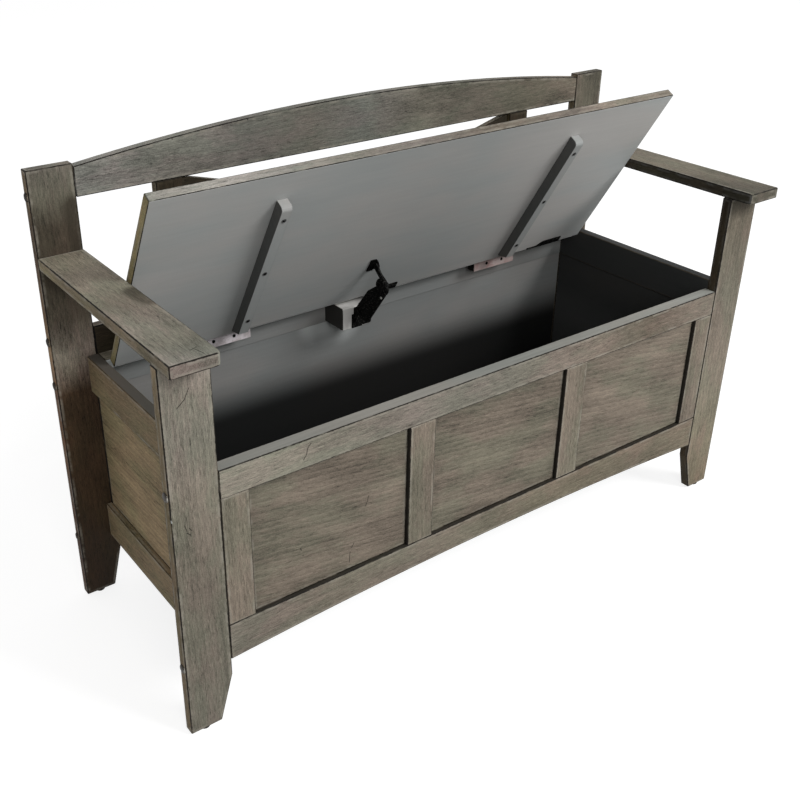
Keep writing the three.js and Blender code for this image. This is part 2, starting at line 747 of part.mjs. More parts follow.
const LID_PIVOT = [alongLid(STAY_LID_PIVOT), belowLid(STAY_LID_PIVOT_DROP)];
const LINK_VECTOR = [-STAY_PIVOT_AHEAD, -STAY_PIVOT_DROP];
const BRACKET_PIVOT = [HINGE_Y + LINK_VECTOR[0], HINGE_Z + LINK_VECTOR[1]];
const ARM_VECTOR = turnedOpen(LID_PIVOT);
const BLOCK_FRONT = POST_FRONT - STAY_BLOCK_DEPTH;

// Layers along X, from the bracket's ear on the left to the foot's ear on the right.
const ARM_X = [STAY_X - STAY_ARM_THICK / 2, STAY_X + STAY_ARM_THICK / 2];
const LINK_X = [ARM_X[1] + STAY_LAYER_GAP, ARM_X[1] + STAY_LAYER_GAP + STAY_LINK_THICK];
const FOOT_EAR_X = [LINK_X[1] + STAY_LAYER_GAP, LINK_X[1] + STAY_LAYER_GAP + STAY_EAR_THICK];
const BRACKET_EAR_X = [ARM_X[0] - STAY_LAYER_GAP - STAY_EAR_THICK, ARM_X[0] - STAY_LAYER_GAP];

function stayBlock() {
  const x1 = STAY_BLOCK_LEFT + STAY_BLOCK_WIDTH;
  const top = BOX_TOP - STAY_BLOCK_DROP;
  return board(STAY_BLOCK_LEFT, x1, BLOCK_FRONT, POST_FRONT - JOINT_GAP, top - STAY_BLOCK_HEIGHT, top);
}

function stayBracket() {
  const [py, pz] = BRACKET_PIVOT;
  const y1 = BLOCK_FRONT - JOINT_GAP;
  const y0 = y1 - STAY_PLATE_THICK;
  const left = BRACKET_EAR_X[0] - STAY_PLATE_MARGIN;
  const z0 = BOX_TOP - STAY_BLOCK_DROP - STAY_BLOCK_HEIGHT + EASE;
  const plate = board(left, left + STAY_PLATE_WIDTH, y0, y1, z0, z0 + STAY_PLATE_HEIGHT, FINE_EASE);
  const web = around([[py, pz, STAY_EAR_R], [y1 - 1, pz, 0.5], [y1 - 1, z0 + STAY_EAR_R, 0.5]]);
  const ear = alongX(web, ...BRACKET_EAR_X);
  const pin = rodX(py, pz, STAY_PIN_R, BRACKET_EAR_X[0], ARM_X[1]);
  return joined([plate, ear, pin]);
}

// A point of the arm in the open pose: how far along it, as a part of its length, and how far below it.
function onArm(along, below) {
  const [ay, az] = ARM_VECTOR;
  const length = Math.hypot(ay, az);
  return [ay * along - (az * below) / length, az * along + (ay * below) / length];
}

// Drawn about the bracket pivot, in the open pose.
function stayArm() {
  const [ay, az] = ARM_VECTOR;
  const outline = around([
    [0, 0, STAY_ARM_END_R],
    [...onArm(0.13, STAY_ARM_BELLY), STAY_ARM_CORNER_R],
    [...onArm(0.88, STAY_ARM_BROW), STAY_ARM_CORNER_R],
    [ay, az, STAY_ARM_END_R],
    [...onArm(0.55, -STAY_ARM_BROW), STAY_ARM_CORNER_R],
  ]);
  const body = alongX(outline, ...ARM_X, FINE_EASE);
  const disc = rodX(ay, az, STAY_DISC_R, ARM_X[0] - STAY_DISC_PROUD, ARM_X[0] + 1);
  const elbowPin = rodX(ay, az, STAY_PIN_R, ARM_X[1] - 1, LINK_X[1]);
  const eye = rodX(0, 0, STAY_PIN_R + STAY_PIN_PLAY, ARM_X[0] - 1, ARM_X[1] + 1);
  return cut(joined([body, disc, elbowPin]), [eye]);
}

// Drawn about the elbow: a strap bowed towards the lid between its two eyes.
function stayLink() {
  const top = [-LINK_VECTOR[0], -LINK_VECTOR[1]];
  const bend = [top[0] / 2 + STAY_LINK_BEND, top[1] / 2];
  const lower = around([[0, 0, STAY_LINK_EYE_R], [...bend, STAY_LINK_HALF]]);
  const upper = around([[...bend, STAY_LINK_HALF], [...top, STAY_LINK_EYE_R]]);
  const blank = joined([alongX(lower, ...LINK_X), alongX(upper, ...LINK_X)]);
  const reach = [LINK_X[0] - 1, LINK_X[1] + 1];
  return cut(blank, [
    rodX(0, 0, STAY_PIN_R + STAY_PIN_PLAY, ...reach),
    rodX(...top, STAY_PIN_R + TURNED_GAP, ...reach),
  ]);
}

// The foot screwed under the lid, with an ear and the pin that the link's upper eye hangs on.
function stayFoot() {
  const [py, pz] = LID_PIVOT;
  const top = belowLid(TURNED_GAP);
  const [x0, x1] = FOOT_EAR_X;
  const plate = box(x1 - FOOT_PLATE_WIDTH, x1, alongLid(FOOT_FRONT), alongLid(FOOT_REAR), top - STAY_PLATE_THICK, top);
  const web = around([
    [py, pz, STAY_LINK_EYE_R],
    [alongLid(FOOT_FRONT) + 1, top - 1, 1],
    [alongLid(FOOT_FRONT) + 3, belowLid(FOOT_EAR_DEPTH) + 3, 3],
    [alongLid(FOOT_REAR) - 4, top - 1, 1],
  ]);
  const pin = rodX(py, pz, STAY_PIN_R, LINK_X[0], x1);
  return joined([plate, alongX(web, x0, x1), pin]);
}

// ---- Assembly -----------------------------------------------------------------------------------

const root = new THREE.Group();
root.name = "storage_bench";
const bench = new THREE.Group();
bench.position.set(0, -ORIGIN_Y, GLIDE_HEIGHT);
root.add(bench);

const lid = new THREE.Group();
lid.position.set(0, HINGE_Y, HINGE_Z);
lid.rotation.x = -OPEN;
bench.add(lid);

function add(parent, name, material, geometry, x = 0, y = 0, z = 0) {
  const mesh = new THREE.Mesh(geometry, new THREE.MeshStandardMaterial(MATERIALS[material]));
  mesh.name = name;
  mesh.position.set(x, y, z);
  parent.add(mesh);
}

const POST_Y = (POST_FRONT + BACK) / 2;
const LEG_Y = (FRONT + LEG_BACK) / 2;

for (const [word, side] of [["left", -1], ["right", 1]]) {
  const post = standingBoard(side, POST_WIDTH, POST_HEIGHT, POST_FRONT, BACK, POST_BOLT_HEIGHTS);
  const legHeight = ARM_TOP - ARM_THICK - JOINT_GAP;
  const leg = standingBoard(side, LEG_WIDTH, legHeight, FRONT, LEG_BACK, LEG_BOLT_HEIGHTS);
  add(bench, `${word}_back_post`, "wood", post);
  add(bench, `${word}_front_leg`, "wood", leg);
  add(bench, `${word}_arm`, "wood", arm(side));
  add(bench, `${word}_back_glide`, "glide", glide(), glideX(side), POST_Y, 0);
  add(bench, `${word}_front_glide`, "glide", glide(), glideX(side), LEG_Y, 0);
  POST_BOLT_HEIGHTS.forEach((z, i) =>
    add(bench, `${word}_post_bolt_${i + 1}`, "cap", boltCap(side), side * HALF, POST_Y, z));
  LEG_BOLT_HEIGHTS.forEach((z, i) =>
    add(bench, `${word}_leg_bolt_${i + 1}`, "cap", boltCap(side), side * HALF, LEG_Y, z));
  add(bench, `${word}_back_slat`, "wood", backSlat(side));
  add(bench, `${word}_side_top_rail`, "wood", sideTopRail(side));
  add(bench, `${word}_side_low_rail`, "wood", sideLowRail(side));
  add(bench, `${word}_side_panel`, "wood", sidePanel(side));
  add(lid, `${word}_lid_batten`, "paint", lidBatten(side));
}

add(bench, "crest_rail", "wood", crestRail());
add(bench, "seat_rail", "wood", seatRail());
add(bench, "falling_brace", "wood", brace(1, true));
add(bench, "rising_brace", "wood", brace(-1, false));

add(bench, "front_top_rail", "wood", frontTopRail());
add(bench, "front_low_rail", "wood", frontLowRail());
for (const [name, extent] of Object.entries(STILES)) add(bench, name, "wood", frontStile(extent));
add(bench, "left_front_panel", "wood", frontPanel(STILES.left_end_stile[1], STILES.left_middle_stile[0]));
add(bench, "middle_front_panel", "wood", frontPanel(STILES.left_middle_stile[1], STILES.right_middle_stile[0]));
add(bench, "right_front_panel", "wood", frontPanel(STILES.right_middle_stile[1], STILES.right_end_stile[0]));

add(bench, "back_low_rail", "wood", backLowRail());
add(bench, "back_panel", "paint", backPanel());
add(bench, "bottom_panel", "paint", bottomPanel());
add(bench, "seat_strip", "wood", seatStrip());

add(lid, "lid_panel", "wood", lidPanel());
add(lid, "lid_strap", "black", lidStrap());
for (const [word, centre] of Object.entries(HINGE_CENTRES)) {
  add(bench, `${word}_hinge_fixed_leaf`, "zinc", fixedLeaf(centre), 0, HINGE_Y, HINGE_Z);
  add(lid, `${word}_hinge_lid_leaf`, "zinc", lidLeaf(centre));
}

const elbow = [BRACKET_PIVOT[0] + ARM_VECTOR[0], BRACKET_PIVOT[1] + ARM_VECTOR[1]];
add(bench, "stay_block", "paint", stayBlock());
add(bench, "stay_bracket", "black", stayBracket());
add(bench, "stay_arm", "black", stayArm(), 0, ...BRACKET_PIVOT);
add(bench, "stay_link", "black", stayLink(), 0, ...elbow);
add(lid, "stay_foot", "black", stayFoot());

export default root;
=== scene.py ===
import bpy
import bmesh
import json
import math
from mathutils import Matrix, Vector


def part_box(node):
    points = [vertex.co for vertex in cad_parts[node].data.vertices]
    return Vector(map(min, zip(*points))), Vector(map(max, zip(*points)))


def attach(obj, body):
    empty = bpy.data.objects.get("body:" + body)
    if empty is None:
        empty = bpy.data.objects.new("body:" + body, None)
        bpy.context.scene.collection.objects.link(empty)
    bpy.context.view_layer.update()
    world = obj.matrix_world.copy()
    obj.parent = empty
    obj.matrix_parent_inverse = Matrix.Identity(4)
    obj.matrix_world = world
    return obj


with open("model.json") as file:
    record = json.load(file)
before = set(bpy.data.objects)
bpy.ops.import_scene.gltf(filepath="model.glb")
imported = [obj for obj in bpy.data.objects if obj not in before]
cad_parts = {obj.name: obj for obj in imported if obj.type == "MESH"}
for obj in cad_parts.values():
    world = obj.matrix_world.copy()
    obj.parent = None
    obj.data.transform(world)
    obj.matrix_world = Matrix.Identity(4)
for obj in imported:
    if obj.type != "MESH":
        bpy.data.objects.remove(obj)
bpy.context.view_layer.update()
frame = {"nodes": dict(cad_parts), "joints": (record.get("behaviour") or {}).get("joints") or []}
nodes = frame["nodes"]
scene = bpy.context.scene
print("frame loaded:", len(nodes), "nodes")


# short forms for shader nodes
def value(tree, socket, given):
    # joins a socket to another node's output, or writes a plain number, vector or colour on it
    if isinstance(given, bpy.types.NodeSocket):
        tree.links.new(given, socket)
    elif given is not None:
        socket.default_value = given


def sums(operation):
    # a function for one kind of sum: sockets or numbers in, a socket out
    def addNode(tree, *given, clamp=False):
        node = tree.nodes.new("ShaderNodeMath")
        node.operation = operation
        node.use_clamp = clamp
        for socket, item in zip(node.inputs, given):
            value(tree, socket, item)
        return node.outputs[0]
    return addNode


plus, minus, times, divided = sums("ADD"), sums("SUBTRACT"), sums("MULTIPLY"), sums("DIVIDE")
timesPlus, larger, smaller = sums("MULTIPLY_ADD"), sums("MAXIMUM"), sums("MINIMUM")
isBelow, isAbove, absolute = sums("LESS_THAN"), sums("GREATER_THAN"), sums("ABSOLUTE")


def vectors(tree, operation, a, b=None):
    node = tree.nodes.new("ShaderNodeVectorMath")
    node.operation = operation
    value(tree, node.inputs[0], a)
    if operation == "SCALE":
        value(tree, node.inputs["Scale"], b)
        return node.outputs["Vector"]
    value(tree, node.inputs[1], b)
    return node.outputs["Value" if operation in ("DOT_PRODUCT", "DISTANCE") else "Vector"]


def parts(tree, vector):
    node = tree.nodes.new("ShaderNodeSeparateXYZ")
    value(tree, node.inputs[0], vector)
    return node.outputs[0], node.outputs[1], node.outputs[2]


def together(tree, x, y, z):
    node = tree.nodes.new("ShaderNodeCombineXYZ")
    for socket, given in zip(node.inputs, (x, y, z)):
        value(tree, socket, given)
    return node.outputs[0]


def cloud(tree, vector, scale=1.0, detail=2.0, roughness=0.55, colour=False):
    node = tree.nodes.new("ShaderNodeTexNoise")
    value(tree, node.inputs["Vector"], vector)
    node.inputs["Scale"].default_value = scale
    node.inputs["Detail"].default_value = detail
    node.inputs["Roughness"].default_value = roughness
    return node.outputs["Color" if colour else "Fac"]


def fade(tree, given, low, high, start=0.0, end=1.0):
    # a soft step from start to end while the value goes from low to high
    node = tree.nodes.new("ShaderNodeMapRange")
    node.interpolation_type = "SMOOTHSTEP"
    value(tree, node.inputs["Value"], given)
    value(tree, node.inputs["From Min"], low)
    value(tree, node.inputs["From Max"], high)
    value(tree, node.inputs["To Min"], start)
    value(tree, node.inputs["To Max"], end)
    return node.outputs["Result"]


def blendColour(tree, factor, a, b, how="MIX"):
    node = tree.nodes.new("ShaderNodeMix")
    node.data_type = "RGBA"
    node.blend_type = how
    value(tree, node.inputs["Factor"], factor)
    for socket, given in ((node.inputs[6], a), (node.inputs[7], b)):
        value(tree, socket, (*given, 1) if isinstance(given, tuple) else given)
    return node.outputs[2]


def tinted(tree, colour, tint, factor=1.0):
    return blendColour(tree, factor, colour, tint, "MULTIPLY")


def dimmed(tree, colour, level):
    return tinted(tree, colour, together(tree, level, level, level))


def newGroup(name, inputs, outputs):
    # an input with no usual value is a vector, one with a tuple is a colour, and the rest are numbers
    tree = bpy.data.node_groups.new(name, "ShaderNodeTree")
    for label, usual in inputs.items():
        kind = "Vector" if usual is None else "Color" if isinstance(usual, tuple) else "Float"
        socket = tree.interface.new_socket(label, in_out="INPUT", socket_type="NodeSocket" + kind)
        if usual is not None:
            socket.default_value = usual
    for label in outputs:
        kind = "Color" if label == "Color" else "Float"
        tree.interface.new_socket(label, in_out="OUTPUT", socket_type="NodeSocket" + kind)
    return tree, tree.nodes.new("NodeGroupInput"), tree.nodes.new("NodeGroupOutput")


def useGroup(tree, group, **given):
    node = tree.nodes.new("ShaderNodeGroup")
    node.node_tree = group
    for label, item in given.items():
        value(tree, node.inputs[label], item)
    return node


# the camera stands off the bench's left front corner
cameraSettings = {
    "position": (-1.1195, -1.3213, 1.2813),
    "heading": 34.92,
    "down": 27.66,
    "roll": -0.27,
    "lens": 46.69,
    "shift": (0.0695, -0.0335),
}


def addCamera(settings):
    data = bpy.data.cameras.new("camera")
    data.lens = settings["lens"]
    data.sensor_width = 36
    data.shift_x, data.shift_y = settings["shift"]
    data.clip_start = 0.05
    camera = bpy.data.objects.new("camera", data)
    turn = (
        Matrix.Rotation(math.radians(-settings["heading"]), 4, "Z")
        @ Matrix.Rotation(math.radians(90 - settings["down"]), 4, "X")
        @ Matrix.Rotation(math.radians(settings["roll"]), 4, "Z")
    )
    camera.matrix_world = Matrix.Translation(settings["position"]) @ turn
    scene.collection.objects.link(camera)
    scene.camera = camera


studioSettings = {
    "roomLight": 0.40,
    "softboxes": [  # place, aimed at, width, height, power
        ((3.3, -5.2, 5.1), (0.0, 0.0, 0.45), 3.0, 2.4, 380),
        ((-1.6, -3.6, 2.6), (0.0, 0.0, 0.4), 1.8, 1.4, 36),
    ],
    "floorSize": 60,
    "floorColour": (0.42, 0.42, 0.42),
    "floorSeen": 0.80,  # what the camera sees on top of the floor's own light
}


def addSoftbox(name, place, target, width, height, power):
    data = bpy.data.lights.new(name, "AREA")
    data.shape = "RECTANGLE"
    data.size, data.size_y = width, height
    data.energy = power
    lamp = bpy.data.objects.new(name, data)
    lamp.location = place
    lamp.rotation_euler = (Vector(target) - Vector(place)).to_track_quat("-Z", "Y").to_euler()
    scene.collection.objects.link(lamp)


def seenRays(tree):
    # 1 for the rays that show the room itself: straight to the camera, off gloss, or through glass
    rays = tree.nodes.new("ShaderNodeLightPath").outputs
    return larger(tree, larger(tree, rays["Is Camera Ray"], rays["Is Glossy Ray"]), rays["Is Transmission Ray"])


def addRoom(settings):
    world = bpy.data.worlds.new("room")
    world.use_nodes = True
    tree = world.node_tree
    background = tree.nodes["Background"]
    background.inputs["Color"].default_value = (1, 1, 1, 1)
    level = timesPlus(tree, seenRays(tree), 1 - settings["roomLight"], settings["roomLight"])
    value(tree, background.inputs["Strength"], level)
    scene.world = world
    scene.view_settings.view_transform = "Standard"

    mesh = bpy.data.meshes.new("floor")
    sheet = bmesh.new()
    bmesh.ops.create_grid(sheet, x_segments=1, y_segments=1, size=settings["floorSize"] / 2)
    sheet.to_mesh(mesh)
    sheet.free()
    floor = bpy.data.objects.new("floor", mesh)
    scene.collection.objects.link(floor)
    pale = bpy.data.materials.new("paleFloor")
    pale.use_nodes = True
    tree = pale.node_tree
    tree.nodes.clear()
    out = tree.nodes.new("ShaderNodeOutputMaterial")
    both = tree.nodes.new("ShaderNodeAddShader")
    matt = tree.nodes.new("ShaderNodeBsdfDiffuse")
    matt.inputs["Color"].default_value = (*settings["floorColour"], 1)
    glow = tree.nodes.new("ShaderNodeEmission")
    glow.inputs["Color"].default_value = (1, 1, 1, 1)
    value(tree, glow.inputs["Strength"], times(tree, seenRays(tree), settings["floorSeen"]))
    tree.links.new(matt.outputs[0], both.inputs[0])
    tree.links.new(glow.outputs[0], both.inputs[1])
    tree.links.new(both.outputs[0], out.inputs["Surface"])
    mesh.materials.append(pale)
    for i, box in enumerate(settings["softboxes"]):
        addSoftbox(f"softbox{i + 1}", *box)


addCamera(cameraSettings)
addRoom(studioSettings)
print("camera, lights and floor placed")


# greyed wood: brushed grain, whitewash in the pores and dark glaze left along the arrises
woodFinish = {
    "moss": (0.172, 0.158, 0.118),  # the greener grey
    "rose": (0.198, 0.163, 0.128),  # the pinker grey
    "glaze": (0.010, 0.008, 0.006),
    "worn": (0.33, 0.305, 0.255),
    "shadow": (0.075, 0.072, 0.055),
    "sideShadeColour": (0.008, 0.007, 0.005),
    "castShadow": (0.040, 0.032, 0.022),
    "chip": (0.50, 0.52, 0.50),
    "ringSpacing": 44,
    "lineCore": 0.0013,  # how wide the glaze lies along an arris, and where it has faded out
    "lineEdge": 0.0020,
    "dentSpacing": 9.5,
    "dentRadius": 0.0013,
    "chipReach": 0.0016,
    "skin": (0.0003, 0.0009),  # how far a side's tint or painted shade wraps round the arris
    # how often the wood's threads repeat in a metre, along the grain and across it
    "fibres": (105, 780),
    "threads": (40, 390),
    "streaks": (8, 105),
    "bands": (2.6, 24),
    "pores": (60, 620),
    "flecks": (70, 640),
    "smoke": (8, 13),
    "patches": (7, 16),
    "mottles": (17, 38),
    "specks": 540,
    # how much each of these moves the tone, and how strongly the marks show
    "contrast": {"threads": 0.38, "specks": 0.95, "mottles": 0.60, "pores": 0.34},
    "strength": {"lip": 0.35, "frameShade": 0.5, "dent": 0.85, "scratch": 0.8, "chip": 0.8},
    "hueLean": 0.22,
    "relief": {
        "fibres": 0.6, "streaks": 0.5, "rings": 0.14, "pores": -0.5, "dents": -1.6, "scratches": -1.2, "glaze": -0.5,
    },
}


plainBoard = {
    "rose": 0.5, "figure": 0.2, "line": 1.0, "frame": 0.0, "sideStain": 0.0, "smoke": 0.18, "bands": 0.40,
    "fibre": 1.0, "streaks": 0.30,
}
white = (1, 1, 1, 1)


def socketNames(board):
    # the values of a plain board, under the names of the group's sockets
    return {label[0].upper() + label[1:]: board[label] for label in plainBoard}


def makeWoodGroup(finish):
    tree, given, made = newGroup(
        "greyedWood",
        {
            "Place": None, "EdgePlace": None, "Half": None, "Seed": 0.0, "Shade": 1.0, "Tint": white,
            "Flank": white, "EndGrain": white, "Scratch": 0.0, "Smudge": 0.0, "Chip": 0.0, **socketNames(plainBoard),
        },
        ("Color", "Roughness", "Height", "Edge"),
    )
    out = given.outputs
    offset = vectors(tree, "SCALE", (7.31, 1.37, 2.11), out["Seed"])
    shifted = vectors(tree, "ADD", out["Place"], offset)
    drift = cloud(tree, vectors(tree, "MULTIPLY", shifted, (3.5, 12, 12)), colour=True)
    drift = vectors(tree, "SUBTRACT", drift, (0.5, 0.5, 0.5))
    wavy = vectors(tree, "ADD", shifted, vectors(tree, "MULTIPLY", drift, (0.0, 0.012, 0.012)))

    # growth rings, sawn through a little askew so that they open into arches
    askew = tree.nodes.new("ShaderNodeMapping")
    value(tree, askew.inputs["Vector"], wavy)
    askew.inputs["Location"].default_value = (0, 0.03, 0.05)
    askew.inputs["Rotation"].default_value = (0, 0.07, 0.04)
    rings = tree.nodes.new("ShaderNodeTexWave")
    rings.wave_type = "RINGS"
    rings.rings_direction = "X"
    rings.wave_profile = "SAW"
    value(tree, rings.inputs["Vector"], askew.outputs[0])
    rings.inputs["Scale"].default_value = finish["ringSpacing"]
    rings.inputs["Distortion"].default_value = 2.2
    rings.inputs["Detail"].default_value = 3
    rings.inputs["Detail Scale"].default_value = 1.6
    ringed = rings.outputs["Fac"]

    def brushed(label, roughness=0.6, detail=2, vector=wavy):
        along, across = finish[label]
        return cloud(tree, vectors(tree, "MULTIPLY", vector, (along, across, across)), 1.0, detail, roughness)

    fibres = brushed("fibres", 0.55)
    threads = brushed("threads", 0.5)
    streaks, bands = brushed("streaks"), brushed("bands")
    specks = cloud(tree, shifted, finish["specks"], 2, 0.6)
    pores = fade(tree, brushed("pores"), 0.56, 0.68)
    flecks = fade(tree, brushed("flecks"), 0.56, 0.68)
    smoke = fade(tree, brushed("smoke", 0.5, 2, shifted), 0.36, 0.64)
    patches = brushed("patches", 0.6, 3, shifted)
    mottles = brushed("mottles", 0.68, 4, shifted)

    # how far the surface is from the nearest arris of its board
    left = vectors(tree, "SUBTRACT", out["Half"], vectors(tree, "ABSOLUTE", out["EdgePlace"]))
    lx, ly, lz = parts(tree, left)
    wide = larger(tree, lx, ly)
    nearest = larger(tree, smaller(tree, lx, ly), smaller(tree, wide, lz))
    wander = minus(tree, cloud(tree, shifted, 190, 3), 0.5)
    ragged = timesPlus(tree, wander, 0.0020, nearest)
    broken = fade(tree, cloud(tree, shifted, 21, 3, 0.6), 0.34, 0.50, 0.45, 1.0)
    line = times(tree, fade(tree, ragged, finish["lineCore"], finish["lineEdge"], 1, 0), broken)
    line = times(tree, line, out["Line"], clamp=True)
    rubbed = times(tree, fade(tree, ragged, 0.0014, 0.0026), fade(tree, ragged, 0.0035, 0.0075, 1, 0))
    rubbed = times(tree, rubbed, fade(tree, cloud(tree, shifted, 41, 3), 0.40, 0.62, 0, 0.55))
    onFlank, onEnd = fade(tree, ly, *finish["skin"], 1, 0), fade(tree, lx, *finish["skin"], 1, 0)
    # painted shade on the flanks that face into the gaps beside panels and rails
    side = times(tree, onFlank, out["SideStain"])
    spread = timesPlus(tree, mottles, 0.03, nearest)
    # painted shade: a panel darkens along its edges, where it sits recessed in the frame
    frameShade = times(tree, fade(tree, spread, 0.013, 0.042, 1, 0), out["Frame"])

    # a few small dents that hold the glaze, each with a bright lower lip
    dents = tree.nodes.new("ShaderNodeTexVoronoi")
    value(tree, dents.inputs["Vector"], shifted)
    dents.inputs["Scale"].default_value = finish["dentSpacing"]
    chosen = fade(tree, parts(tree, dents.outputs["Color"])[0], 0.52, 0.56)
    reach = divided(tree, dents.outputs["Distance"], finish["dentSpacing"])
    radius = finish["dentRadius"]
    dent = times(tree, fade(tree, reach, radius * 0.5, radius, 1, 0), chosen)
    lip = times(tree, fade(tree, reach, radius, radius * 1.9, 1, 0), chosen)

    lean = plus(tree, fade(tree, patches, 0.38, 0.62, -0.5, 0.5), out["Rose"])
    threadLean = fade(tree, threads, 0.3, 0.7, -finish["hueLean"], finish["hueLean"])
    lean = plus(tree, lean, threadLean, clamp=True)
    colour = blendColour(tree, lean, finish["moss"], finish["rose"])

    def spreadTone(tone, source, amount):
        centred = minus(tree, source, 0.5)
        return plus(tree, tone, times(tree, centred, amount))

    contrast, strength = finish["contrast"], finish["strength"]
    threadContrast = times(tree, out["Fibre"], contrast["threads"])
    tone = 1.0
    for source, amount in (
        (fibres, out["Fibre"]), (threads, threadContrast), (specks, contrast["specks"]),
        (streaks, out["Streaks"]), (bands, out["Bands"]), (mottles, contrast["mottles"]),
        (ringed, out["Figure"]), (smoke, out["Smoke"]),
    ):
        tone = spreadTone(tone, source, amount)
    tone = timesPlus(tree, pores, -contrast["pores"], tone)
    tone = timesPlus(tree, flecks, contrast["pores"], tone)
    tone = times(tree, tone, out["Shade"])
    colour = dimmed(tree, colour, tone)
    colour = tinted(tree, colour, out["Tint"])
    colour = tinted(tree, colour, out["Flank"], onFlank)
    colour = tinted(tree, colour, out["EndGrain"], onEnd)
    colour = blendColour(tree, rubbed, colour, finish["worn"])
    colour = blendColour(tree, times(tree, lip, strength["lip"]), colour, finish["worn"])
    colour = blendColour(tree, times(tree, frameShade, strength["frameShade"]), colour, finish["shadow"])
    # painted shadow: soft dark patches where the lid or the arm shades a board
    castShadowShare = times(tree, out["Smudge"], fade(tree, mottles, 0.30, 0.62, 0.45, 0.8))
    colour = blendColour(tree, castShadowShare, colour, finish["castShadow"])
    colour = blendColour(tree, side, colour, finish["sideShadeColour"])
    glazed = larger(tree, line, times(tree, dent, strength["dent"]))
    glazed = larger(tree, glazed, times(tree, out["Scratch"], strength["scratch"]))
    colour = blendColour(tree, glazed, colour, finish["glaze"])
    colour = blendColour(tree, times(tree, out["Chip"], strength["chip"]), colour, finish["chip"])
    value(tree, made.inputs["Color"], colour)
    value(tree, made.inputs["Edge"], line)

    rough = timesPlus(tree, fibres, 0.22, 0.55)
    rough = timesPlus(tree, rubbed, -0.2, rough)
    value(tree, made.inputs["Roughness"], timesPlus(tree, pores, 0.15, rough, clamp=True))
    relief = times(tree, streaks, finish["relief"]["streaks"])
    for source, label in (
        (fibres, "fibres"), (ringed, "rings"), (pores, "pores"), (dent, "dents"), (out["Scratch"], "scratches"),
        (line, "glaze"),
    ):
        relief = timesPlus(tree, source, finish["relief"][label], relief)
    value(tree, made.inputs["Height"], relief)
    return tree


# flat grey paint of the chest's inside and the lid's underside
paintFinish = {
    "colour": (0.300, 0.312, 0.306),
    "warmer": (0.318, 0.312, 0.300),
    "dark": 0.27,  # height at which the inside has lost its light
    "rim": 0.368,
    "wrap": 0.0012,  # how far the paint of an inner face reaches round its edges
    "rimDepth": 0.0004,
    "underFace": 0.0006,
    "glazeKept": 0.85,  # share of the dark arris line that shows through the painted rim
    "relief": 0.35,
}


def makePaintGroup(finish):
    inputs = {"Place": None, "Seed": 0.0, "Shade": 1.0, "Tint": white, "Brush": 0.14}
    tree, given, made = newGroup("greyPaint", inputs, ("Color", "Roughness", "Height"))
    out = given.outputs
    offset = vectors(tree, "SCALE", (5.3, 2.9, 3.7), out["Seed"])
    shifted = vectors(tree, "ADD", out["Place"], offset)
    drift = cloud(tree, vectors(tree, "MULTIPLY", shifted, (2.2, 5, 5)), 1.0, 3, 0.6)
    grain = cloud(tree, vectors(tree, "MULTIPLY", shifted, (9, 190, 190)), 1.0, 3, 0.6)
    specks = cloud(tree, shifted, 420, 3, 0.7)
    tone = timesPlus(tree, minus(tree, drift, 0.5), 0.30, 1.0)
    tone = timesPlus(tree, minus(tree, grain, 0.5), out["Brush"], tone)
    tone = timesPlus(tree, minus(tree, specks, 0.5), 0.14, tone)
    tone = times(tree, tone, out["Shade"])
    hue = blendColour(tree, fade(tree, drift, 0.4, 0.6), finish["colour"], finish["warmer"])
    value(tree, made.inputs["Color"], dimmed(tree, tinted(tree, hue, out["Tint"]), tone))
    value(tree, made.inputs["Roughness"], timesPlus(tree, specks, 0.2, 0.5))
    value(tree, made.inputs["Height"], timesPlus(tree, specks, 0.35, grain))
    return tree


def makeScratchGroup():
    # 1 on a straight scratch between two points, 0 away from it
    inputs = {"Place": None, "From": None, "To": None, "Reach": 0.001}
    tree, given, made = newGroup("scratch", inputs, ("Mark",))
    out = given.outputs
    run = vectors(tree, "SUBTRACT", out["To"], out["From"])
    away = vectors(tree, "SUBTRACT", out["Place"], out["From"])
    share = divided(tree, vectors(tree, "DOT_PRODUCT", away, run), vectors(tree, "DOT_PRODUCT", run, run))
    share = larger(tree, smaller(tree, share, 1.0), 0.0)
    near = vectors(tree, "ADD", out["From"], vectors(tree, "SCALE", run, share))
    gap = vectors(tree, "DISTANCE", out["Place"], near)
    inner = times(tree, out["Reach"], 0.35)
    value(tree, made.inputs["Mark"], fade(tree, gap, inner, out["Reach"], 1, 0))
    return tree


woodGroup = makeWoodGroup(woodFinish)
paintGroup = makePaintGroup(paintFinish)
scratchGroup = makeScratchGroup()
print("wood, paint and scratch patterns made")


def freshMaterial(name):
    material = bpy.data.materials.new(name)
    material.use_nodes = True
    tree = material.node_tree
    tree.nodes.clear()
    out = tree.nodes.new("ShaderNodeOutputMaterial")
    shader = tree.nodes.new("ShaderNodeBsdfPrincipled")
    tree.links.new(shader.outputs[0], out.inputs["Surface"])
    return material, tree, shader


def roughen(tree, shader, height, depth):
    bump = tree.nodes.new("ShaderNodeBump")
    bump.inputs["Strength"].default_value = 1
    bump.inputs["Distance"].default_value = depth
    value(tree, bump.inputs["Height"], height)
    tree.links.new(bump.outputs["Normal"], shader.inputs["Normal"])


def dress(node, material):
    node.data.materials.clear()
    node.data.materials.append(material)


# boards: every one gets its own cut of the wood, laid along its grain
squareOn = 0.7  # how far a normal has to point one way for the face to count as facing there
rearTint = (0.9, 0.9, 0.9)
lidTilt = math.radians(59.2)
xAxis, yAxis, zAxis = Vector((1, 0, 0)), Vector((0, 1, 0)), Vector((0, 0, 1))
front, rear = -yAxis, yAxis
lidBack = Vector((0, math.cos(lidTilt), -math.sin(lidTilt)))  # along the open lid, towards its hinge
lidUp = Vector((0, math.sin(lidTilt), math.cos(lidTilt)))  # out of the lid's upper face


def turnTo(grain, face):
    # rows: along the grain, across it, and out of the board's face
    return Matrix((grain, face.cross(grain), face))


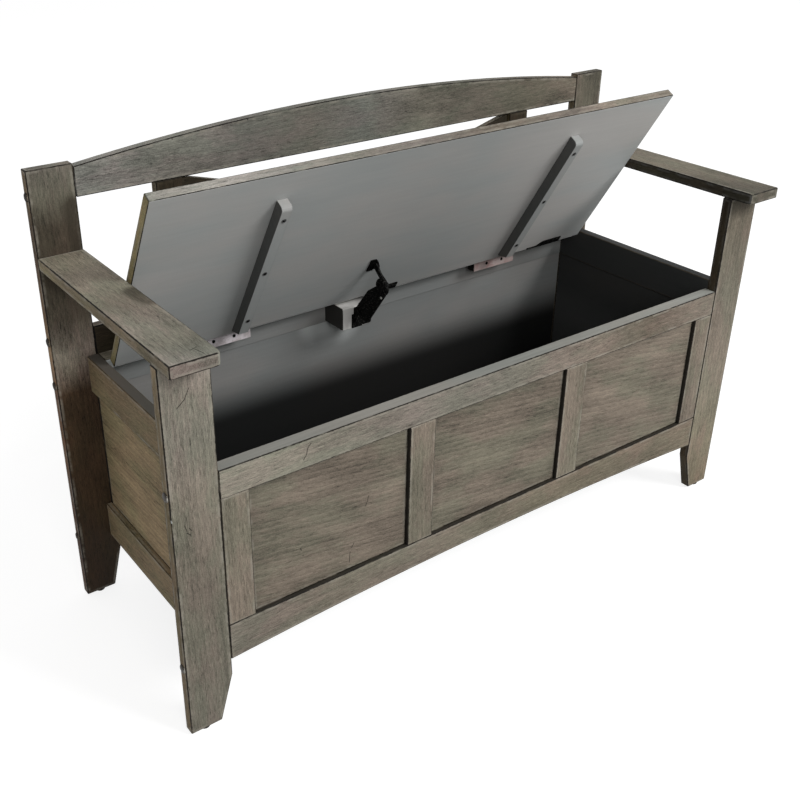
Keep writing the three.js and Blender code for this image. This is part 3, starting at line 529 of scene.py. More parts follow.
def measure(name, turn):
    spots = [turn @ v.co for v in nodes[name].data.vertices]
    low = Vector([min(s[i] for s in spots) for i in range(3)])
    high = Vector([max(s[i] for s in spots) for i in range(3)])
    return low, high


def mapping(tree, vector, turn=(0, 0, 0), shift=(0, 0, 0)):
    lay = tree.nodes.new("ShaderNodeMapping")
    lay.inputs["Rotation"].default_value = turn
    lay.inputs["Location"].default_value = shift
    tree.links.new(vector, lay.inputs["Vector"])
    return lay.outputs["Vector"]


def archedEdge(tree, place, half, rise, upper):
    # straightens a bowed long edge, so that the glaze follows it
    x, y, z = parts(tree, place)
    run = divided(tree, x, half.x)
    drop = times(tree, times(tree, run, run), rise)
    if upper:
        lifted = times(tree, isAbove(tree, y, 0.0), drop)
        return together(tree, x, plus(tree, y, lifted), z)
    back = minus(tree, rise, drop)
    lowered = times(tree, isBelow(tree, y, 0.0), back)
    return together(tree, x, minus(tree, y, lowered), z)


def taperedEdge(tree, place, half, height, step, inner):
    # straightens the slope that narrows a leg towards its foot
    x, y, z = parts(tree, place)
    up = divided(tree, plus(tree, x, half.x), height)
    short = times(tree, minus(tree, 1.0, up, clamp=True), step)
    onSlope = isAbove(tree, times(tree, y, inner), 0.0)
    reach = times(tree, onSlope, short)
    return together(tree, x, timesPlus(tree, reach, inner, y), z)


def gradedShade(tree, place, half, shade):
    # one tone all along the board, or one at its start, its middle and its end
    if not isinstance(shade, tuple):
        return shade
    run = divided(tree, parts(tree, place)[0], half.x)
    start, middle, end = shade
    return plus(tree, fade(tree, run, -1, 0, start, middle), fade(tree, run, 0, 1, 0, end - middle))


def shadeAlong(tree, place, half, stops):
    # a tint that changes along the board, given as shares of its length and colours; it paints the light and shade
    # that falls along the board, with some of its own tone
    run = timesPlus(tree, parts(tree, place)[0], 0.5 / half.x, 0.5)
    ramp = tree.nodes.new("ShaderNodeValToRGB")
    value(tree, ramp.inputs[0], run)
    elements = ramp.color_ramp.elements
    while len(elements) < len(stops):
        elements.new(0.5)
    for element, (position, colour) in zip(elements, stops):
        element.position = position
        element.color = (*colour, 1)
    return ramp.outputs["Color"]


def scratched(tree, where, marks, reach=0.001):
    total = 0.0
    for start, end in marks:
        mark = useGroup(tree, scratchGroup, Place=where, From=start, To=end, Reach=reach)
        total = larger(tree, total, mark.outputs["Mark"])
    return total


def blendHeight(tree, share, a, b):
    mix = tree.nodes.new("ShaderNodeMix")
    for socket, given in ((mix.inputs["Factor"], share), (mix.inputs[2], a), (mix.inputs[3], b)):
        value(tree, socket, given)
    return mix.outputs[0]


def paintShare(tree, board, place, where, half, top):
    # 1 where the board is painted grey: all over, all but its face, on its back, below a height, or on its rim
    z = parts(tree, place)[2]
    height = parts(tree, where)[2]
    share = 1.0 if board.get("painted") == "all" else 0.0
    if board.get("painted") == "under":
        share = isBelow(tree, z, half.z - paintFinish["underFace"])
    if board.get("painted") == "back":
        share = isBelow(tree, z, board.get("paintWrap", paintFinish["wrap"]) - half.z)
    if "paintBelow" in board:
        offRear = isAbove(tree, z, paintFinish["wrap"] - half.z)
        share = times(tree, isBelow(tree, height, board["paintBelow"]), offRear)
    if board.get("rim"):
        share = larger(tree, share, isAbove(tree, height, top - paintFinish["rimDepth"]))
    return share


def boardTint(tree, board, place, half, normal):
    # the painted light and shade along a board is left off its rear face, which gets an even tint
    if "tones" in board:
        facesRear = isAbove(tree, parts(tree, normal)[1], squareOn)
        return blendColour(tree, facesRear, shadeAlong(tree, place, half, board["tones"]), rearTint)
    return (*board.get("tint", (1, 1, 1)), 1)


def boardMaterial(name, board, seed):
    turn = turnTo(board["grain"], board["face"])
    low, high = measure(name, turn)
    centre, half = (low + high) / 2, (high - low) / 2
    half = half - Vector(board.get("tongue", (0, 0, 0)))
    material, tree, shader = freshMaterial(name + "Finish")
    where = tree.nodes.new("ShaderNodeTexCoord").outputs["Object"]
    place = mapping(tree, where, turn.to_euler("XYZ"), -centre)
    edgePlace = place
    if "arch" in board:
        edgePlace = archedEdge(tree, place, half, *board["arch"])
    if "taper" in board:
        edgePlace = taperedEdge(tree, place, half, *board["taper"])
    slanted = mapping(tree, place, (0, 0, math.radians(board.get("slant", 0))))
    normal = tree.nodes.new("ShaderNodeTexCoord").outputs["Normal"]
    wood = useGroup(
        tree, woodGroup, Place=slanted, EdgePlace=edgePlace, Half=half, Seed=seed,
        Shade=gradedShade(tree, place, half, board.get("shade", 1.0)),
        Tint=boardTint(tree, board, place, half, normal),
        Flank=(*board.get("flank", (1, 1, 1)), 1), EndGrain=(*board.get("endGrain", (1, 1, 1)), 1),
        Scratch=scratched(tree, where, board.get("marks", ())),
        Smudge=scratched(tree, where, board.get("smudges", ()), board.get("smudgeReach", 0.02)),
        Chip=scratched(tree, where, board.get("chips", ()), woodFinish["chipReach"]),
        **socketNames(plainBoard | board),
    )
    colour, rough, height = (wood.outputs[k] for k in ("Color", "Roughness", "Height"))
    facesLeft = isBelow(tree, parts(tree, normal)[0], -squareOn)
    facesFront = isBelow(tree, parts(tree, normal)[1], -squareOn)
    # painted shade: faces looking left or to the front are darkened where they lie in shade
    for side, tint in ((facesLeft, "leftTint"), (facesFront, "frontTint")):
        if tint in board:
            colour = tinted(tree, colour, board[tint], side)
    if board.keys() & {"painted", "paintBelow", "rim"}:
        shade = gradedShade(tree, place, half, board.get("paintShade", 1.0))
        tint = (*board.get("paintTint", (1, 1, 1)), 1)
        if "paintTones" in board:
            tint = shadeAlong(tree, place, half, [(spot, (tone, tone, tone)) for spot, tone in board["paintTones"]])
        brush = board.get("brush", 0.14)
        paint = useGroup(tree, paintGroup, Place=place, Seed=seed, Shade=shade, Tint=tint, Brush=brush)
        inside = paint.outputs["Color"]
        # painted shade: the inside's paint darkens towards the chest's bottom
        if board.get("deep"):
            up = parts(tree, where)[2]
            depth = fade(tree, up, paintFinish["dark"], paintFinish["rim"], board["deep"], 1.0)
            inside = dimmed(tree, inside, depth)
        # painted light: the paint lightens towards the top, to fill the shade under the lid's edge
        if "lift" in board:
            low, high, gain = board["lift"]
            paintedLight = fade(tree, parts(tree, where)[2], low, high, 1.0, gain)
            inside = dimmed(tree, inside, paintedLight)
        # painted light: a patch of the paint is lightened, to cancel the shadow that the stay casts there
        if "paler" in board:
            marks, reach, gain = board["paler"]
            paintedLight = timesPlus(tree, scratched(tree, where, marks, reach), gain - 1, 1.0)
            inside = dimmed(tree, inside, paintedLight)
        # painted shade: painted faces that look left, and the battens' flanks, are darkened as if in shade
        if board.get("endsDark"):
            onEnd = times(tree, facesLeft, board["endsDark"])
            inside = blendColour(tree, onEnd, inside, woodFinish["sideShadeColour"])
        if board.get("sidesDark"):
            across = minus(tree, half.y, absolute(tree, parts(tree, place)[1]))
            onSide = times(tree, fade(tree, across, *woodFinish["skin"], 1, 0), board["sidesDark"])
            inside = blendColour(tree, onSide, inside, woodFinish["sideShadeColour"])
        share = paintShare(tree, board, place, where, half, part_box(name)[1][2])
        if board.get("rim"):
            glazed = times(tree, share, wood.outputs["Edge"])
            share = timesPlus(tree, glazed, -paintFinish["glazeKept"], share)
        colour = blendColour(tree, share, colour, inside)
        rough = blendHeight(tree, share, rough, paint.outputs["Roughness"])
        painted = times(tree, paint.outputs["Height"], paintFinish["relief"])
        height = blendHeight(tree, share, height, painted)
    value(tree, shader.inputs["Base Color"], colour)
    value(tree, shader.inputs["Roughness"], rough)
    shader.inputs["Specular IOR Level"].default_value = board.get("shine", 0.16)
    roughen(tree, shader, height, board.get("relief", 0.0003))
    dress(nodes[name], material)


rail, post = {"grain": xAxis, "face": front}, {"grain": zAxis, "face": front}
# inner faces of the chest are painted grey, with painted shade towards the bottom
chestInside = {"painted": "back", "deep": 0.05}
# a panel's frame value sets the painted shade along its edges beside the frame
panelled = {  # a loose panel, whose tongues are hidden in the frame's grooves
    "frame": 0.3, "figure": 0.30, "bands": 0.9, "streaks": 0.72, "fibre": 0.6, "tongue": (0.0065, 0.0065, 0),
}
butted = {**post, "tongue": (-0.003, 0, 0)}  # upright between two rails, with no glaze on its ends
frontFace, panelFace, crestFace, armTop = -0.1984, -0.1914, 0.2206, 0.6804  # planes that the marks lie on
hookMark = (  # a crooked scratch in the front top rail
    ((-0.398, frontFace, 0.463), (-0.404, frontFace, 0.456)),
    ((-0.404, frontFace, 0.456), (-0.406, frontFace, 0.446)),
    ((-0.406, frontFace, 0.446), (-0.4115, frontFace, 0.439)),
)
legMarks = (
    ((-0.6148, frontFace, 0.4026), (-0.6117, frontFace, 0.3916)),
    ((-0.612, frontFace, 0.389), (-0.607, frontFace, 0.3835)),
    ((-0.608, frontFace, 0.3955), (-0.6045, frontFace, 0.3905)),
    ((-0.6105, frontFace, 0.593), (-0.598, frontFace, 0.6035)),
    ((-0.598, frontFace, 0.6035), (-0.5905, frontFace, 0.619)),
)
panelMarks = (
    ((-0.418, panelFace, 0.272), (-0.4155, panelFace, 0.267)),
    ((-0.413, panelFace, 0.257), (-0.4128, panelFace, 0.255)),
    ((-0.321, panelFace, 0.222), (-0.3225, panelFace, 0.202)),
    ((-0.284, panelFace, 0.319), (-0.286, panelFace, 0.31)),
    ((-0.286, panelFace, 0.31), (-0.290, panelFace, 0.3015)),
    ((-0.313, panelFace, 0.237), (-0.318, panelFace, 0.23)),
)
armMarks = (
    ((-0.629, 0.0035, armTop), (-0.625, 0.0055, armTop)),
    ((-0.5905, -0.2115, armTop), (-0.579, -0.2075, armTop)),
    ((-0.5835, -0.212, armTop), (-0.5795, -0.229, armTop)),
)
crestMarks = (
    ((-0.387, crestFace, 0.8375), (-0.385, crestFace, 0.8325)),
    ((-0.2435, crestFace, 0.8485), (-0.2415, crestFace, 0.843)),
)
golden = (1.10, 0.98, 0.74)  # the flanks took less of the grey than the faces
# the shade, tones and paint values below paint the light and shade on each board as well as its own tone
boards = {
    "crest_rail": {
        **rail, "arch": (0.0372, True), "rose": 0.35, "marks": crestMarks, "smoke": 0.35,
        "tones": (
            (0, (1.35, 1.47, 1.76)), (0.15, (1.12, 1.22, 1.38)), (0.28, (0.72, 0.78, 0.90)),
            (0.4, (0.69, 0.74, 0.81)), (0.5, (0.82, 0.92, 1.07)), (0.62, (0.79, 0.87, 0.90)),
            (0.75, (0.63, 0.67, 0.69)), (0.88, (0.65, 0.65, 0.65)), (1, (0.84, 0.83, 0.83)),
        ),
    },
    "seat_rail": {
        # painted shade on the rail's front, seen between the post and the lid
        **rail, "frontTint": (0.24, 0.22, 0.18), "paintBelow": 0.4735,
        "paintShade": (0.74, 0.69, 0.73), "lift": (0.423, 0.446, 1.35),
    },
    "front_top_rail": {
        **chestInside, **rail, "rim": True, "rose": 0.35, "marks": hookMark,
        "paintShade": (0.88, 0.9, 1.08), "paintTint": (1.0, 0.98, 0.92), "brush": 0.5,
        "tones": (
            (0, (1.40, 1.50, 1.56)), (0.16, (1.20, 1.27, 1.33)), (0.33, (1.07, 1.11, 1.21)),
            (0.5, (1.12, 1.15, 1.25)), (0.67, (1.18, 1.15, 1.20)), (0.83, (0.86, 0.79, 0.79)),
            (1, (1.12, 1.12, 1.16)),
        ),
    },
    "front_low_rail": {
        **chestInside, **rail, "arch": (0.0175, False), "rose": 0.55, "sideStain": 0.90,
        "tones": (
            (0, (1.08, 1.09, 1.16)), (0.17, (1.10, 1.10, 1.12)), (0.33, (0.99, 1.02, 1.03)),
            (0.67, (1.02, 0.98, 0.93)), (0.83, (0.96, 0.91, 0.88)), (1, (1.08, 1.04, 0.99)),
        ),
    },
    "middle_front_panel": {**chestInside, **panelled, **rail, "slant": 8, "shade": 0.93},
    "back_low_rail": {**chestInside, "grain": xAxis, "face": rear},
    "back_panel": {
        **chestInside, "grain": xAxis, "face": rear, "line": 0.0,
        # painted light and shade along the back, and a lighter patch painted over the stay's shadow
        "paintTones": ((0, 0.72), (0.22, 0.67), (0.5, 0.61), (0.666, 0.61), (0.769, 0.68), (0.876, 0.90), (1, 0.76)),
        "paler": ((((-0.100, 0.2, 0.430), (-0.045, 0.2, 0.420)),), 0.066, 2.4),
    },
    "bottom_panel": {"painted": "all", "deep": 0.05, "grain": xAxis, "face": -zAxis, "line": 0.0},
    "seat_strip": {
        # painted light towards the strip's top, and painted shade on its left ends
        "painted": "under", "grain": xAxis, "face": zAxis, "paintShade": 1.36, "endsDark": 1.0, "shade": 1.2,
        "lift": (0.450, 0.471, 2.1),
    },
    "stay_block": {
        # painted light and shade: the block is lighter to the left, darker to the right under the arm, with a shaded
        # left end
        "painted": "all", "grain": xAxis, "face": zAxis, "paintShade": (2.2, 1.6, 0.7), "endsDark": 0.95,
        "shine": 0.1,
    },
    "lid_panel": {
        # painted light and shade across the lid's underside and along its edge
        "painted": "back", "grain": xAxis, "face": lidUp, "rose": 0.35, "shade": 1.46,
        "paintShade": (1.3, 1.12, 1.55),
        "tones": (
            (0, (1.15, 1.30, 1.48)), (0.1, (1.34, 1.50, 1.74)), (0.2, (0.95, 1.05, 1.22)),
            (0.32, (0.78, 0.85, 0.92)), (0.45, (0.66, 0.68, 0.78)), (0.6, (0.57, 0.52, 0.54)),
            (0.76, (0.58, 0.59, 0.64)), (0.84, (0.98, 0.96, 1.0)), (1, (0.72, 0.72, 0.74)),
        ),
        "endGrain": (1.04, 0.86, 0.52), "paintWrap": 0.0003,
    },
}
for way in ("falling", "rising"):
    # painted shade on the braces' fronts, which lie in the crest's shade
    boards[f"{way}_brace"] = {**rail, "shade": 0.85, "line": 0.3, "frontTint": (0.17, 0.15, 0.12)}
for side, out, inner in (("left", -xAxis, -1), ("right", xAxis, 1)):
    atRight = side == "right"
    chestEnd = {
        # painted shade: the right end's inner face is painted near black and darker still towards the bottom
        "painted": "back", "deep": 1.8 if atRight else 0.05, "paintShade": 0.13 if atRight else 1.0,
        "grain": yAxis, "face": out, "tint": golden,
    }
    boards |= {
        f"{side}_back_post": {
            **post, "taper": (0.085, 0.0212, inner), "smoke": 0.5,
            "flank": golden if atRight else (1.35, 0.97, 0.62), "shade": 0.62 if atRight else 1.0,
        },
        f"{side}_front_leg": {
            **post, "taper": (0.085, 0.0242, inner), "smoke": 0.12,
            "flank": golden if atRight else (0.95, 0.80, 0.58),
        },
        f"{side}_arm": {"grain": yAxis, "face": zAxis, "rose": 0.45, "flank": (0.85, 0.77, 0.61), "smoke": 0.35},
        # painted shade on the slats' fronts and left flanks, behind the lid
        f"{side}_back_slat": {
            **post, "shade": 0.85, "line": 0.5, "leftTint": (0.62, 0.54, 0.36), "frontTint": (0.22, 0.19, 0.15),
        },
        f"{side}_side_top_rail": {
            **chestEnd, "rim": True, "line": 0.7, "shade": 1.06, "paintShade": 0.13 if atRight else 0.26,
            "paintTint": (1, 1, 1) if atRight else (1.10, 0.98, 0.86),
        },
        f"{side}_side_low_rail": {**chestEnd, "line": 0.7, "shade": 1.18},
        f"{side}_side_panel": {**chestEnd, **panelled, "frame": 0.12, "shade": 1.62},
        f"{side}_end_stile": {**chestInside, **butted, "sideStain": 0.95, "shade": 1.07},
        f"{side}_middle_stile": {**chestInside, **butted, "sideStain": 0.97, "shade": 1.13 if atRight else 0.98},
        f"{side}_front_panel": {
            **chestInside, **panelled, **rail, "rose": 0.6, "slant": 9, "shade": 0.98 if atRight else 0.885,
        },
        f"{side}_lid_batten": {
            # painted shade on the battens' flanks
            "painted": "all", "grain": lidBack, "face": lidUp, "paintShade": 1.12, "sidesDark": 0.74,
            "shine": 0.06,
        },
    }
# painted shade: the post darkens towards its foot and below the arm, and lightens just under the side rail
boards["left_back_post"] |= {
    "tones": (
        (0, (0.15, 0.105, 0.07)), (0.28, (0.26, 0.19, 0.13)), (0.52, (0.42, 0.29, 0.22)),
        (0.61, (1.84, 1.80, 1.90)), (0.69, (0.72, 0.68, 0.66)), (0.78, (0.31, 0.28, 0.26)),
        (0.88, (0.32, 0.29, 0.27)), (0.94, (0.62, 0.63, 0.63)), (1, (0.76, 0.80, 0.84)),
    ),
    # a painted shadow on the post's face just above the arm
    "smudges": (((-0.5664, crestFace, 0.752), (-0.5594, crestFace, 0.690)),), "smudgeReach": 0.028,
}
# painted light and shade: the leg is lighter in its middle and in the arm's shadow at its top
boards["right_front_leg"]["tones"] = (
    (0, (1.04, 0.95, 0.86)), (0.2, (1.30, 1.26, 1.20)), (0.4, (1.28, 1.28, 1.28)), (0.7, (0.97, 0.98, 1.0)),
    (0.93, (0.88, 0.83, 0.83)), (1, (0.24, 0.23, 0.20)),
)
boards["left_arm"] |= {
    "tones": (
        (0, (1.20, 1.32, 1.46)), (0.14, (1.04, 1.08, 1.14)), (0.29, (1.22, 1.26, 1.34)), (0.5, (0.98, 1.00, 1.00)),
        (0.78, (1.47, 1.53, 1.53)), (0.87, (1.74, 1.86, 1.79)), (1, (1.44, 1.50, 1.46)),
    ),
    # the lid's shadow, painted on the arm's top
    "smudges": (((-0.566, 0.012, armTop), (-0.5585, -0.03, armTop)),), "smudgeReach": 0.026,
    "endGrain": (0.78, 0.68, 0.68),
}
boards["right_arm"]["tones"] = (
    (0, (0.52, 0.54, 0.53)), (0.2, (0.66, 0.68, 0.66)), (0.45, (0.96, 0.99, 0.97)), (1, (0.98, 0.98, 0.98)),
)
# painted light: the leg lightens towards its top, under the arm
boards["left_front_leg"]["tones"] = (
    (0, (0.90, 0.94, 0.98)), (0.5, (0.98, 1.00, 1.02)), (0.67, (1.10, 1.15, 1.17)), (0.83, (1.24, 1.28, 1.37)),
    (0.92, (1.22, 1.27, 1.34)), (1, (1.60, 1.68, 1.82)),
)
boards["left_end_stile"]["line"] = 0.8
# painted shade on the inner faces of the right leg and arm
boards["right_front_leg"]["leftTint"] = (0.24, 0.24, 0.25)
boards["right_arm"]["leftTint"] = (0.36, 0.38, 0.44)
boards["left_front_leg"]["chips"] = (((-0.6345, frontFace, 0.4185), (-0.6338, frontFace, 0.4155)),)
boards["left_front_leg"]["marks"] = legMarks
boards["left_front_panel"]["marks"] = panelMarks
boards["left_arm"]["marks"] = armMarks
for i, (name, board) in enumerate(sorted(boards.items())):
    boardMaterial(name, board, 0.37 * (i + 1))
print("boards finished:", len(boards))


# metal and plastic
plainFitting = {"rough": 0.6, "metal": 0.0, "relief": 0.0002, "scale": 300}
fittings = {
    # black, with lighter blots that are painted glints
    "black": {
        "colour": (0.0018, 0.0018, 0.0018), "patch": (0.075, 0.074, 0.068), "shine": 0.05, "scale": 330, "from": 0.56,
    },
    # one zinc for both hinges, with different painted reflections on the left and right
    "leftHingeSheen": {
        "colour": (0.68, 0.63, 0.65), "patch": (0.50, 0.45, 0.455), "rough": 0.5, "shine": 0.4, "metal": 0.2,
        "relief": 0.00012, "scale": 90,
    },
    "rightHingeSheen": {
        "colour": (0.45, 0.37, 0.35), "patch": (0.40, 0.27, 0.255), "rough": 0.5, "shine": 0.4, "metal": 0.2,
        "relief": 0.00012, "scale": 60,
    },
    "cap": {
        "colour": (0.035, 0.027, 0.020), "patch": (0.018, 0.014, 0.010), "shine": 0.15, "paintedLight": (0.30, 0.25, 0.19),
    },
    "legCap": {
        "colour": (0.030, 0.024, 0.018), "patch": (0.016, 0.012, 0.009), "rough": 0.45, "shine": 0.3,
        "paintedLight": (0.70, 0.67, 0.60),
    },
    # dark grey cups, whose darkness also paints the shade inside the countersunk holes
    "cup": {
        "colour": (0.045, 0.046, 0.045), "patch": (0.11, 0.112, 0.110), "rough": 0.5, "shine": 0.25,
        "relief": 0.0001, "scale": 500,
    },
    "glide": {"colour": (0.02, 0.017, 0.014), "patch": (0.035, 0.03, 0.026), "shine": 0.3, "scale": 200},
    "steel": {
        "colour": (0.62, 0.61, 0.58), "patch": (0.45, 0.44, 0.42), "rough": 0.35, "shine": 0.5, "metal": 0.8,
        "relief": 0.0001, "scale": 400,
    },
}


def fittingMaterial(name, finish):
    # a base colour with blots of the patch colour, and a painted highlight on faces that look to the front
    material, tree, shader = freshMaterial(name)
    where = tree.nodes.new("ShaderNodeTexCoord")
    blots = cloud(tree, where.outputs["Object"], finish["scale"], 4, 0.65)
    fine = cloud(tree, where.outputs["Object"], finish["scale"] * 5, 3, 0.6)
    share = fade(tree, blots, finish.get("from", 0.4), 0.66)
    colour = blendColour(tree, share, finish["colour"], finish["patch"])
    if "paintedLight" in finish:
        ahead = parts(tree, where.outputs["Normal"])[1]
        colour = blendColour(tree, fade(tree, ahead, -0.9, -0.55, 1, 0), colour, finish["paintedLight"])
    value(tree, shader.inputs["Base Color"], colour)
    value(tree, shader.inputs["Roughness"], timesPlus(tree, fine, 0.25, finish["rough"] - 0.1))
    shader.inputs["Metallic"].default_value = finish["metal"]
    shader.inputs["Specular IOR Level"].default_value = finish["shine"]
    roughen(tree, shader, timesPlus(tree, blots, 0.7, fine), finish["relief"])
    return material


materials = {
    name: fittingMaterial(name + "Finish", {**plainFitting, **finish}) for name, finish in fittings.items()
}
for name, node in nodes.items():
    if "hinge" in name:
        dress(node, materials["leftHingeSheen" if name.startswith("left") else "rightHingeSheen"])
    elif "bolt" in name:
        dress(node, materials["legCap" if "leg_bolt" in name else "cap"])
    elif "glide" in name:
        dress(node, materials["glide"])
    elif name == "lid_strap" or (name.startswith("stay_") and name != "stay_block"):
        dress(node, materials["black"])
print("fittings finished")


# small pieces that are too fine for the frame: screws and cups, two plates, and the stay's cap, rivet and ribs
def addPiece(name, mesh, body, finish):
    data = bpy.data.meshes.new(name)
    mesh.to_mesh(data)
    mesh.free()
    piece = bpy.data.objects.new(name, data)
    scene.collection.objects.link(piece)
    data.materials.append(materials[finish])
    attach(piece, body)


def bevelEdges(mesh, edges, width, segments=2):
    bmesh.ops.bevel(
        mesh, geom=edges, offset=width, offset_type="OFFSET", affect="EDGES", segments=segments, profile=0.5,
        material=-1, clamp_overlap=True,
    )


def newVerts(mesh, known):
    return [vert for vert in mesh.verts if vert not in known]


def facesOf(verts):
    return list({face for vert in verts for face in vert.link_faces})


def facing(direction, place):
    # a disc made looking along +z, turned to look along the direction and put in its place
    return Matrix.Translation(place) @ Vector(direction).to_track_quat("Z", "Y").to_matrix().to_4x4()


screwShape = {
    "segments": 24, "topShare": 0.94, "rim": 0.0004, "recessInset": 0.342, "waist": 0.34, "recessDepth": 0.55,
}


def screwHead(mesh, place, direction, radius, height):
    # a low round head with a cross recess
    made = bmesh.ops.create_cone(
        mesh, cap_ends=True, segments=screwShape["segments"], radius1=radius,
        radius2=radius * screwShape["topShare"], depth=height,
    )
    verts = made["verts"]
    edges = {edge for vert in verts for edge in vert.link_edges}
    rim = [edge for edge in edges if all(vert.co.z > 0 for vert in edge.verts)]
    known = set(mesh.verts) - set(verts)
    bevelEdges(mesh, rim, screwShape["rim"])
    head = newVerts(mesh, known)
    top = max((face for vert in head for face in vert.link_faces), key=lambda face: face.calc_center_median().z)
    bmesh.ops.inset_individual(mesh, faces=[top], thickness=radius * screwShape["recessInset"])
    for i, vert in enumerate(top.verts):
        if i % 6 not in (0, 1):  # leaves four arms of the cross
            vert.co.x *= screwShape["waist"]
            vert.co.y *= screwShape["waist"]
    sunk = bmesh.ops.extrude_discrete_faces(mesh, faces=[top])["faces"][0]
    bmesh.ops.translate(mesh, verts=sunk.verts, vec=(0, 0, -height * screwShape["recessDepth"]))
    head = newVerts(mesh, known)
    bmesh.ops.translate(mesh, verts=head, vec=(0, 0, height / 2))
    bmesh.ops.transform(mesh, matrix=facing(direction, place), verts=head)


def turned(mesh, profile, place, direction, steps=40):
    # turns a half section, given as radius and height, into a closed round piece
    known = set(mesh.verts)
    chain = [mesh.verts.new((radius, 0, height)) for radius, height in profile]
    links = [mesh.edges.new(pair) for pair in zip(chain, chain[1:])]
    bmesh.ops.spin(
        mesh, geom=chain + links, cent=(0, 0, 0), axis=(0, 0, 1), angle=2 * math.pi, steps=steps, use_merge=True,
    )
    made = newVerts(mesh, known)
    bmesh.ops.remove_doubles(mesh, verts=made, dist=1e-6)
    made = newVerts(mesh, known)
    bmesh.ops.recalc_face_normals(mesh, faces=facesOf(made))
    bmesh.ops.transform(mesh, matrix=facing(direction, place), verts=made)


lidTurn = turnTo(xAxis, lidUp)
lidLow, lidHigh = measure("lid_panel", lidTurn)


def lidSpot(x, forward, below):
    # a point under the lid: distance from its rear edge, and below its underside
    return lidTurn.transposed() @ Vector((x, lidHigh.y - forward, lidLow.z - below))


battenScrews = {
    "first": 0.059, "pitch": 0.128, "count": 3, "radius": 0.0027, "height": 0.0016, "proud": 0.0007,
    "cupSunk": 0.0001,
    "cup": ((0, 0), (0.0046, 0), (0.0046, 0.0003), (0.0042, 0.0008), (0.0028, 0.0002), (0, 0.0002)),
}


def addBattenScrews(side, sizes):
    low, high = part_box(f"{side}_lid_batten")
    depth = lidLow.z - measure(f"{side}_lid_batten", lidTurn)[0].z
    screws, cups = bmesh.new(), bmesh.new()
    middle = (low[0] + high[0]) / 2
    for i in range(sizes["count"]):
        forward = sizes["first"] + i * sizes["pitch"]
        turned(cups, sizes["cup"], lidSpot(middle, forward, depth - sizes["cupSunk"]), -lidUp, 32)
        seat = lidSpot(middle, forward, depth + sizes["proud"] - sizes["height"])
        screwHead(screws, seat, -lidUp, sizes["radius"], sizes["height"])
    addPiece(f"{side}_batten_screws", screws, "lid", "black")
    addPiece(f"{side}_batten_cups", cups, "lid", "cup")


leafScrews = {
    "spread": 0.042, "drop": 0.0246, "radius": 0.0034, "height": 0.0012, "proud": 0.0008,
    "knuckleRadius": 0.0026, "leafBehindPin": 0.0002,
}


def addLeafScrews(side, sizes):
    low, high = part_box(f"{side}_hinge_fixed_leaf")
    pinHeight = high[2] - sizes["knuckleRadius"]
    leafFace = low[1] + sizes["knuckleRadius"] + sizes["leafBehindPin"]
    mesh = bmesh.new()
    for step in (-0.5, 0.5):
        x = (low[0] + high[0]) / 2 + step * sizes["spread"]
        seat = (x, leafFace - sizes["proud"] + sizes["height"], pinHeight - sizes["drop"])
        screwHead(mesh, seat, front, sizes["radius"], sizes["height"])
    addPiece(f"{side}_hinge_screws", mesh, "bench", "black")


plateRim = 0.0004


def flatPlate(width, depth, thick, corner):
    # a thin plate with rounded corners, its upper rim eased
    mesh = bmesh.new()
    bmesh.ops.create_grid(mesh, x_segments=1, y_segments=1, size=0.5)
    bmesh.ops.scale(mesh, verts=mesh.verts, vec=(width, depth, 1))
    bmesh.ops.bevel(
        mesh, geom=list(mesh.verts), offset=corner, offset_type="OFFSET", affect="VERTICES", segments=4,
        profile=0.5, material=-1,
    )
    lifted = bmesh.ops.extrude_face_region(mesh, geom=list(mesh.faces))["geom"]
    topVerts = [item for item in lifted if isinstance(item, bmesh.types.BMVert)]
    bmesh.ops.translate(mesh, verts=topVerts, vec=(0, 0, thick))
    bmesh.ops.recalc_face_normals(mesh, faces=mesh.faces)
    rim = [edge for edge in mesh.edges if all(vert in topVerts for vert in edge.verts)]
    bevelEdges(mesh, rim, plateRim)
    return mesh


catchPlate = {
    "from": -0.018, "to": 0.041, "rear": 0.0012, "front": 0.0175, "thick": 0.0018, "corner": 0.002,
    "screwInset": 0.012, "screwRadius": 0.0026, "screwHeight": 0.0009, "screwSunk": 0.0002,
}


def addCatchPlate(sizes):
    # a flat black plate screwed under the lid beside the stay
    mesh = flatPlate(sizes["to"] - sizes["from"], sizes["front"] - sizes["rear"], sizes["thick"], sizes["corner"])
    middle = lidSpot((sizes["from"] + sizes["to"]) / 2, (sizes["rear"] + sizes["front"]) / 2, 0.0)
    bmesh.ops.transform(mesh, matrix=facing(-lidUp, middle), verts=mesh.verts)
    addPiece("catch_plate", mesh, "lid", "black")
    screws = bmesh.new()
    for x in (sizes["from"] + sizes["screwInset"], sizes["to"] - sizes["screwInset"]):
        seat = lidSpot(x, (sizes["rear"] + sizes["front"]) / 2, sizes["thick"] - sizes["screwSunk"])
        screwHead(screws, seat, -lidUp, sizes["screwRadius"], sizes["screwHeight"])
    addPiece("catch_plate_screws", screws, "lid", "black")


wingPlate = {
    "width": 0.022, "low": 0.4290, "high": 0.4610, "thick": 0.0016, "corner": 0.004,
    "screwAside": 0.002, "screwShares": (0.25, 0.75), "screwRadius": 0.0028, "screwHeight": 0.0010,
    "screwSunk": 0.0003, "sunk": 0.0001,
}


